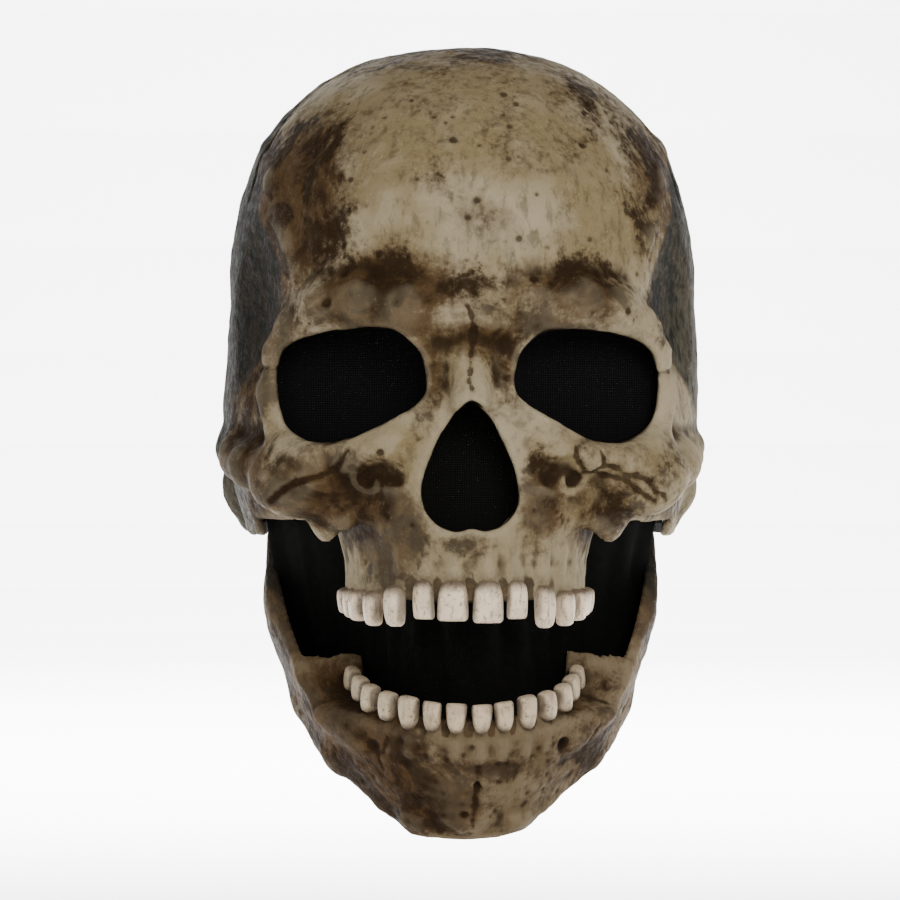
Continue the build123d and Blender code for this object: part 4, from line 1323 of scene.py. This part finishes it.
GUM_STEP = {  # how far a tooth's gum end lies past the gum's level
    "upper": {"incisor": 2.8, "canine": 0.6, "premolar": -1.6, "molar": -1.6},
    "lower": {"incisor": -1.6, "canine": -2.2, "premolar": -1.4, "molar": -1.2},
}
WIDER = {"upper": 1.03, "lower": 1.13}  # how much wider a crown is than its width in TEETH
rng = np.random.default_rng(5)
for row, arch, gum_z, up in (("upper", UPPER_ARCH, UPPER_GUM_Z, -1), ("lower", LOWER_ARCH, LOWER_GUM_Z, 1)):
    for side_name, side in SIDES:
        for kind, x, width, depth, height in TEETH[row]:
            root_z = gum_z + GUM_STEP[row][kind.split("_")[-1]]
            size = (width * WIDER[row], depth, height)
            points, faces = tooth_mesh(row, arch, root_z, up, side, kind, x, *size, rng)
            share = (points[:, 2] - root_z) * up / height
            (across, along), heading = on_arch(arch, x)
            c, s = math.cos(heading), math.sin(heading)
            u = (points[:, 0] * side - across) * c + (points[:, 1] - along) * s
            flank = ramp(np.abs(u) / (0.5 * width), 0.72, 1.0) * 0.8
            if row == "lower":
                points = swung(points)
            node = f"{row}_{side_name}_{kind}"
            piece = mesh_object("tooth_" + node, points, faces)
            add_masks(piece, {"root": np.clip(1.0 - share / 0.42, 0, 1), "flank": flank})
            dress(piece, row + "_teeth", "skull" if row == "upper" else "jaw", (node,))

# ---- Hardware from the CAD model ----

SLOT_OF_KIND = {
    "pivot_block": "hinge_plastic",
    "threaded_insert": "insert_brass",
    "pivot_washer": "washer_nylon",
    "pivot_screw": "screw_steel",
    "jaw_plate": "plate_aluminium",
}
for kind, slot in SLOT_OF_KIND.items():
    for side_name in ("left", "right"):
        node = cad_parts[f"{kind}_{side_name}"]
        node.data.materials.clear()
        node.data.materials.append(materials[slot])

# ---- Soft parts ----


def panel(name, outline, place, thickness, rings=18, dish=0.0):
    """A closed thin panel inside an outline; place turns its flat (u, v) and depth into a point."""
    outline = np.asarray(outline, float)
    middle = outline.mean(0)
    count = len(outline)
    points, faces = [], []
    for depth in (0.0, thickness):
        points.append(place(*middle, depth - dish))
        for ring in range(1, rings + 1):
            share = ring / rings
            for u, v in middle + (outline - middle) * share:
                points.append(place(u, v, depth - dish * (1 - share**2)))
    layer = 1 + rings * count
    for side in (0, 1):
        start = side * layer
        turn = (lambda face: face) if side else (lambda face: tuple(reversed(face)))
        for n in range(count):
            m = (n + 1) % count
            faces.append(turn((start, start + 1 + n, start + 1 + m)))
            for ring in range(rings - 1):
                a = start + 1 + ring * count
                faces.append(turn((a + n, a + count + n, a + count + m, a + m)))
    edge = 1 + (rings - 1) * count
    for n in range(count):
        m = (n + 1) % count
        faces.append((edge + n, edge + m, layer + edge + m, layer + edge + n))
    return mesh_object(name, points, faces)


def grown(outline, amount):
    """An outline moved outwards along its normals."""
    outline = np.asarray(outline, float)
    along = np.roll(outline, -1, 0) - np.roll(outline, 1, 0)
    normal = np.stack((along[:, 1], -along[:, 0]), 1) / np.linalg.norm(along, axis=1)[:, None]
    u, v = outline.T
    turning = np.sum(u * np.roll(v, -1) - v * np.roll(u, -1))
    return outline + normal * amount * (1 if turning > 0 else -1)


def rounded_rectangle(half_width, half_height, count=72):
    """Points round a rectangle with soft corners."""
    turns = np.linspace(0, 2 * math.pi, count, endpoint=False)
    c, s = np.cos(turns), np.sin(turns)
    u, v = np.sign(c) * np.abs(c) ** 0.4, np.sign(s) * np.abs(s) ** 0.4
    return np.stack((half_width * u, half_height * v), 1)


MESH_LAP = 2.6  # how far a see-through panel runs under the edge that it is glued to


def eye_mesh(side_name, side):
    """A see-through panel stretched behind an eye socket."""
    outline = grown(SOCKET_RIM.curve[::2], MESH_LAP)
    turn = math.radians(SOCKET_TURN)

    def place(x, z, depth):
        y = SOCKET[1] + (x - SOCKET[0]) * math.tan(turn)
        out = np.array((math.sin(turn), -math.cos(turn), 0.0))
        point = np.array((x, y, z)) - out * (1.15 + depth)
        return np.array((side * point[0], point[1], point[2]))

    piece = panel(f"eye_net_{side_name}", outline, place, 0.5, dish=-1.2)
    dress(piece, "eye_mesh", "skull", (f"eye_mesh_{side_name}",))
    wide, high = np.ptp(outline[:, 0]) / math.cos(turn), np.ptp(outline[:, 1])


def nose_net():
    """The panel stretched behind the nose opening."""
    outline = grown(NOSE_RIM.curve[::2], MESH_LAP)
    piece = panel("nose_net", outline, lambda x, z, depth: (x, NOSE_MESH_Y + 1.15 + depth, z), 0.5, dish=-0.8)
    dress(piece, "nose_mesh", "skull", ("nose_mesh",))
    wide, high = np.ptp(outline[:, 0]), np.ptp(outline[:, 1])


VEIL_TOP = (  # half of the veil's upper edge, from the hinge to the middle, and then of its foot
    (78.5, -1.0, -23.0), (66.0, -19.0, -26.0), (55.0, -30.0, -27.0),
    (37.5, -50.0, -28.0), (20.0, -76.0, -28.0), (0.0, -93.0, -28.0),
)
VEIL_FOOT = (
    (74.5, 4.0, -79.0), (61.0, -9.0, -86.0), (49.0, -17.0, -91.0),
    (38.0, -30.0, -96.5), (22.0, -62.0, -104.5), (0.0, -77.5, -108.0),
)


def spaced(line, count):
    """Points evenly spaced along half a line and its mirror image."""
    line = np.array(line, float)
    whole = np.concatenate([line * np.array((-1, 1, 1)), line[::-1][1:]])
    along = np.concatenate([[0], np.cumsum(np.linalg.norm(np.diff(whole, axis=0), axis=1))])
    places = np.linspace(0, along[-1], count)
    points = np.stack([np.interp(places, along, whole[:, n]) for n in range(3)], 1)
    for _ in range(6):
        points[1:-1] = 0.25 * points[:-2] + 0.5 * points[1:-1] + 0.25 * points[2:]
    return points


def mouth_veil():
    """The black curtain behind the teeth, glued to the skull at its top and to the jaw at its foot."""
    across, down = 221, 64
    top, foot = spaced(VEIL_TOP, across), spaced(VEIL_FOOT, across)
    shifts = np.random.default_rng(21).uniform(-1, 1, 40)
    points, faces = [], []
    for layer in (0.0, 0.5):
        for row in range(down):
            share = row / (down - 1)
            line = top + (foot - top) * share
            along = np.gradient(line, axis=0)
            out = np.stack((along[:, 1], -along[:, 0], 0 * along[:, 0]), 1)
            out /= np.linalg.norm(out, axis=1)[:, None]
            place = np.linspace(0, 1, across)
            fold = np.sin(2 * math.pi * (13 * place + 0.22 * math.sin(3 * share + 1))) * 0.9
            fold += np.interp(place * 39, np.arange(40), shifts) * 1.2
            free = math.sin(math.pi * share) ** 0.6
            sag = -2.5 * math.sin(math.pi * share)
            points.extend(line + out * (fold * free + sag + layer)[:, None])
    size = across * down
    for row in range(down - 1):
        for n in range(across - 1):
            a = row * across + n
            faces.append((a, a + 1, a + across + 1, a + across))
            faces.append((size + a, size + a + across, size + a + across + 1, size + a + 1))
    rim = list(range(across)) + [r * across + across - 1 for r in range(1, down)]
    rim += [(down - 1) * across + n for n in range(across - 2, -1, -1)]
    rim += [r * across for r in range(down - 2, 0, -1)]
    for a, b in zip(rim, rim[1:] + rim[:1]):
        faces.append((a, size + a, size + b, b))
    piece = mesh_object("veil", points, faces)
    dress(piece, "veil_fabric", None, ("mouth_veil",))
    grid = np.array(points[:size]).reshape(down, across, 3)
    wide = max(np.linalg.norm(np.diff(grid[row], axis=0), axis=1).sum() for row in (0, down // 2, down - 1))
    tall = max(np.linalg.norm(np.diff(grid[:, n], axis=0), axis=1).sum() for n in (0, across // 2))
    u, v = np.diff(grid, axis=1)[:-1], np.diff(grid, axis=0)[:, :-1]
    area = float(np.linalg.norm(np.cross(u, v), axis=2).sum())
    tall = max(tall, area / wide)
    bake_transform(piece)


def ribbon(name, line, low_z, high_z, thickness, swing=False):
    """A flat band on edge along a line seen from above. Its thickness lies to the line's left."""
    line = np.array(line, float)
    along = np.gradient(line, axis=0)
    left = np.stack((-along[:, 1], along[:, 0]), 1) / np.linalg.norm(along, axis=1)[:, None]
    half = (high_z - low_z) / 2
    middle = (high_z + low_z) / 2
    section = []
    for n in range(24):
        turn = 2 * math.pi * n / 24
        c, s = math.cos(turn), math.sin(turn)
        section.append((0.5 + 0.5 * squarer(c, 0.4), half * squarer(s, 0.25)))
    points = []
    for place, side in zip(line, left):
        for depth, level in section:
            points.append((*(place + side * depth * thickness), middle + level))
    faces = tube_faces(len(line), len(section), capped=True)
    piece = mesh_object(name, swung(points) if swing else points, faces)
    outward_normals(piece)
    return piece


def outward_normals(piece):
    """Turns every face of a closed piece outwards."""
    mesh = bmesh.new()
    mesh.from_mesh(piece.data)
    bmesh.ops.recalc_face_normals(mesh, faces=mesh.faces)
    mesh.to_mesh(piece.data)
    mesh.free()


def stitches(name, row, body, swing=False):
    """Raised stitches along a row of places, each with the cloth's outward direction."""
    radius = 0.32
    points, faces = [], []
    for (a, out), (b, _) in zip(row[:-1:2], row[1::2]):
        a, b, out = (np.array(v, float) for v in (a, b, out))
        d = b - a
        d /= np.linalg.norm(d) + 1e-9
        side = np.cross(d, out)
        faces += tube_faces(6, 6, start=len(points), capped=True)
        for share in np.linspace(0, 1, 6):
            middle = a + (b - a) * share + out * radius * (0.9 * math.sin(math.pi * share))
            size = radius * (0.45 + 0.55 * math.sin(math.pi * (0.1 + 0.8 * share)))
            for k in range(6):
                turn = 2 * math.pi * k / 6
                points.append(middle + size * (side * math.cos(turn) + out * math.sin(turn)))
    piece = mesh_object(name, swung(points) if swing else points, faces)
    outward_normals(piece)
    return dress(piece, "thread", body)


STRAP_THICKNESS = 1.4


def strap(name, node, body, line, low_z, high_z, swing=False):
    """An elastic strap along a line."""
    piece = ribbon(name, line, low_z, high_z, STRAP_THICKNESS, swing)
    dress(piece, "elastic", body, (node,))


def patch(name, node, body, skin, outline, place, flat, swing=False):
    """A cloth patch, bonded to the inside of a skin over the end of a strap."""
    piece = panel(name, outline, place, 1.5, rings=10)
    if swing:
        places = swung([tuple(vertex.co) for vertex in piece.data.vertices])
        piece.data.vertices.foreach_set("co", places.astype(np.float32).ravel())
    outward_normals(piece)
    dress(piece, "patch_cloth", body, (node,))


def neck_point(level, turn, inset):
    """A point on the inside of the neck's wall; turn runs from 0 at the left to 90 degrees at the nape."""
    wide = float(np.interp(level, [r[0] for r in NECK_RINGS], [r[1] for r in NECK_RINGS]))
    stretch = HALF_LENGTH / HALF_WIDTH
    across = (wide - inset) * math.cos(turn)
    along = CENTRE_Y + (wide * stretch - inset) * math.sin(turn)
    return np.array((across, along, level))


HEM_HEIGHT = (0.1, 4.6)  # its lower and upper edge over the neck's rim
NAPE_STRAP_Z = -16.0


def neck_soft_parts():
    """The hem round the neck opening, and the elastic strap across the nape with its two patches."""
    first = -math.asin((26.0 + CENTRE_Y) / (86.0 * HALF_LENGTH / HALF_WIDTH))
    turns = np.linspace(first, math.pi - first, 160)
    hem_line = [neck_point(RIM_Z + 2, turn, SKIN + 0.1)[:2] for turn in turns]
    hem = ribbon("hem", hem_line, RIM_Z + HEM_HEIGHT[0], RIM_Z + HEM_HEIGHT[1], 1.4)
    dress(hem, "hem_binding", "skull", ("neck_hem",))
    row = []
    for turn in np.linspace(first + 0.02, math.pi - first - 0.02, 210):
        point = neck_point(RIM_Z + 3.4, turn, SKIN + 1.55)
        row.append((point, (-math.cos(turn), -math.sin(turn), 0)))
    stitches("hem_stitches", row, "skull")
    wide = 88.0 * HALF_LENGTH / HALF_WIDTH
    strap_start = math.asin((26.0 - CENTRE_Y) / wide)
    turns = np.linspace(strap_start + 0.03, math.pi - strap_start - 0.03, 120)
    strap_line = [neck_point(NAPE_STRAP_Z, turn, SKIN + 1.9)[:2] for turn in turns]
    strap("nape_band", "nape_strap", "skull", strap_line, -22.8, -9.2)
    for side_name, side in SIDES:
        low_turn, high_turn = math.asin((25.5 - CENTRE_Y) / wide), math.asin((49.5 - CENTRE_Y) / wide)
        mid_turn, half_turn = (low_turn + high_turn) / 2, (high_turn - low_turn) / 2

        def place(u, v, depth, side=side, mid_turn=mid_turn, half_turn=half_turn):
            point = neck_point(NAPE_STRAP_Z + v, mid_turn + half_turn * u, SKIN + 0.1 + depth)
            return np.array((side * point[0], point[1], point[2]))

        names = (f"nape_cloth_{side_name}", f"nape_patch_{side_name}", "skull", "skull_skin")
        patch(*names, rounded_rectangle(1.0, 8.8), place, (0.0265, 0.0176))
        row = []
        for u, v in rounded_rectangle(0.86, 7.4, 44):
            turn = mid_turn + half_turn * u
            row.append((place(u, v, 1.6), (-side * math.cos(turn), -math.sin(turn), 0)))
        row.append(row[0])
        stitches(f"nape_stitches_{side_name}", row, "skull")


def jaw_wall_point(y, level, inset, side):
    """A point on the inside of the closed jaw's wall."""
    levels, wides, longs = (np.array(column) for column in zip(*JAW_RINGS))
    wide, long = np.interp(level, levels, wides) - inset, np.interp(level, levels, longs) - inset
    return np.array((side * wide * math.sqrt(max(0.0, 1 - (y / long) ** 2)), y, level))


def chin_strap_parts():
    """The elastic strap across the jaw, with its two patches."""
    xs = np.linspace(50.0, -50.0, 90)
    line = [(x, -88.0 + 33.0 * (x / 62.0) ** 2) for x in xs]
    strap("chin_band", "chin_strap", "jaw", line, -103.8, -90.2, swing=True)
    for side_name, side in SIDES:

        def place(u, v, depth, side=side):
            return jaw_wall_point(-64.0 + u, -97.5 + v, JAW_WALL + 0.15 + depth, side)

        names = (f"chin_cloth_{side_name}", f"chin_patch_{side_name}", "jaw", "jaw_skin")
        patch(*names, rounded_rectangle(11.5, 7.6), place, (0.0275, 0.0156), swing=True)
        row = [(place(u, v, 1.6), (-0.75 * side, 0.6, 0)) for u, v in rounded_rectangle(9.6, 6.2, 40)]
        row.append(row[0])
        stitches(f"chin_stitches_{side_name}", row, "jaw", swing=True)


def stuffed(node, name, body):
    """A padded piece: the CAD solid, drawn in, blown up as cloth under pressure, and smoothed."""
    inset, cap = 1.8, 1.9  # how far it is drawn in first, and how far it may swell again
    piece = bpy.data.objects.new(name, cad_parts[node].data.copy())
    bpy.context.collection.objects.link(piece)
    remesh = piece.modifiers.new("remesh", "REMESH")
    remesh.mode, remesh.voxel_size = "VOXEL", 0.0034
    smooth = piece.modifiers.new("smooth", "SMOOTH")
    smooth.iterations = 6
    apply_modifiers(piece)
    mesh = piece.data
    count = len(mesh.vertices)
    start, normal = np.zeros(count * 3), np.zeros(count * 3)
    mesh.vertices.foreach_get("co", start)
    mesh.vertex_normals.foreach_get("vector", normal)
    start, normal = start.reshape(-1, 3), normal.reshape(-1, 3)
    start = start - normal * inset * MM
    mesh.vertices.foreach_set("co", start.ravel())
    mesh.update()
    cloth = piece.modifiers.new("cloth", "CLOTH")
    cloth.settings.use_pressure = True
    cloth.settings.uniform_pressure_force = 4.0
    cloth.settings.effector_weights.gravity = 0.0
    cloth.settings.quality = 4
    scene = bpy.context.scene
    for moment in range(1, 15):
        scene.frame_set(moment)
    apply_modifiers(piece)
    scene.frame_set(1)
    blown = np.zeros(count * 3)
    piece.data.vertices.foreach_get("co", blown)
    moved = blown.reshape(-1, 3) - start
    far = np.linalg.norm(moved, axis=1, keepdims=True)
    moved *= np.minimum(1.0, cap * MM / np.maximum(far, 1e-9))
    piece.data.vertices.foreach_set("co", (start + moved).ravel())
    piece.data.update()
    subdivide = piece.modifiers.new("subdivide", "SUBSURF")
    subdivide.levels = subdivide.render_levels = 1
    apply_modifiers(piece)
    piece.data.polygons.foreach_set("use_smooth", np.full(len(piece.data.polygons), True))
    dress(piece, "foam", body, (node,))


for side_name, side in SIDES:
    eye_mesh(side_name, side)
nose_net()
mouth_veil()
neck_soft_parts()
chin_strap_parts()
for node in ("brow_pad", "crown_pad", "temple_pad_left", "temple_pad_right", "nape_pad"):
    stuffed(node, node.replace("pad", "cushion"), "skull")
stuffed("chin_cup", "chin_cushion", "jaw")


# ---- Stage ----

FLOOR_Z = -0.205


def cyclorama():
    """A pale floor that curves up into a wall behind."""
    profile = [(-4.0, FLOOR_Z), (2.4, FLOOR_Z)]
    bend = 1.6
    for n in range(1, 13):
        turn = math.radians(90 * n / 12)
        profile.append((2.4 + bend * math.sin(turn), FLOOR_Z + bend * (1 - math.cos(turn))))
    profile.append((4.0, 6.0))
    points = [(x, y, z) for y, z in profile for x in (-7.0, 7.0)]
    faces = [(2 * n, 2 * n + 1, 2 * n + 3, 2 * n + 2) for n in range(len(profile) - 1)]
    mesh = bpy.data.meshes.new("floor")
    mesh.from_pydata(points, [], faces)
    piece = bpy.data.objects.new("floor", mesh)
    bpy.context.collection.objects.link(piece)
    paint = Paint("floor")
    cloud = paint.noise(0.4, 2.0)
    colour = paint.mix(cloud, (0.93, 0.93, 0.93), (0.96, 0.96, 0.96))
    mesh.materials.append(paint.finish(colour, 0.9, Specular_IOR_Level=0.1))


def light(name, place, size, power, target=(0, 0, 0)):
    """A soft square lamp that faces its target."""
    lamp = bpy.data.lights.new(name, "AREA")
    lamp.size, lamp.energy = size, power
    piece = bpy.data.objects.new(name, lamp)
    piece.location = place
    piece.rotation_euler = (Vector(target) - Vector(place)).to_track_quat("-Z", "Y").to_euler()
    bpy.context.collection.objects.link(piece)


cyclorama()
light("key", (0.5, -1.8, 0.75), 1.0, 35, (0, 0, 0.03))
light("fill", (-1.1, -1.5, 0.25), 1.0, 6)
light("wall", (0, 1.0, 1.5), 2.4, 620, (0, 3.4, -0.2))
world = bpy.data.worlds.new("world")
bpy.context.scene.world = world
world.use_nodes = True
world.node_tree.nodes["Background"].inputs[0].default_value = (1, 1, 1, 1)
world.node_tree.nodes["Background"].inputs[1].default_value = 0.22

CAMERA_TARGET = Vector((-0.0048, 0, 0.002))
CAMERA_DISTANCE, CAMERA_TURN = 1.617, -1.5
camera = bpy.data.cameras.new("camera")
camera.lens = 160
view = bpy.data.objects.new("camera", camera)
bpy.context.collection.objects.link(view)
bpy.context.scene.camera = view
turn = math.radians(CAMERA_TURN)
view.location = CAMERA_TARGET + CAMERA_DISTANCE * Vector((math.sin(turn), -math.cos(turn), 0))
view.rotation_euler = (CAMERA_TARGET - view.location).to_track_quat("-Z", "Y").to_euler()
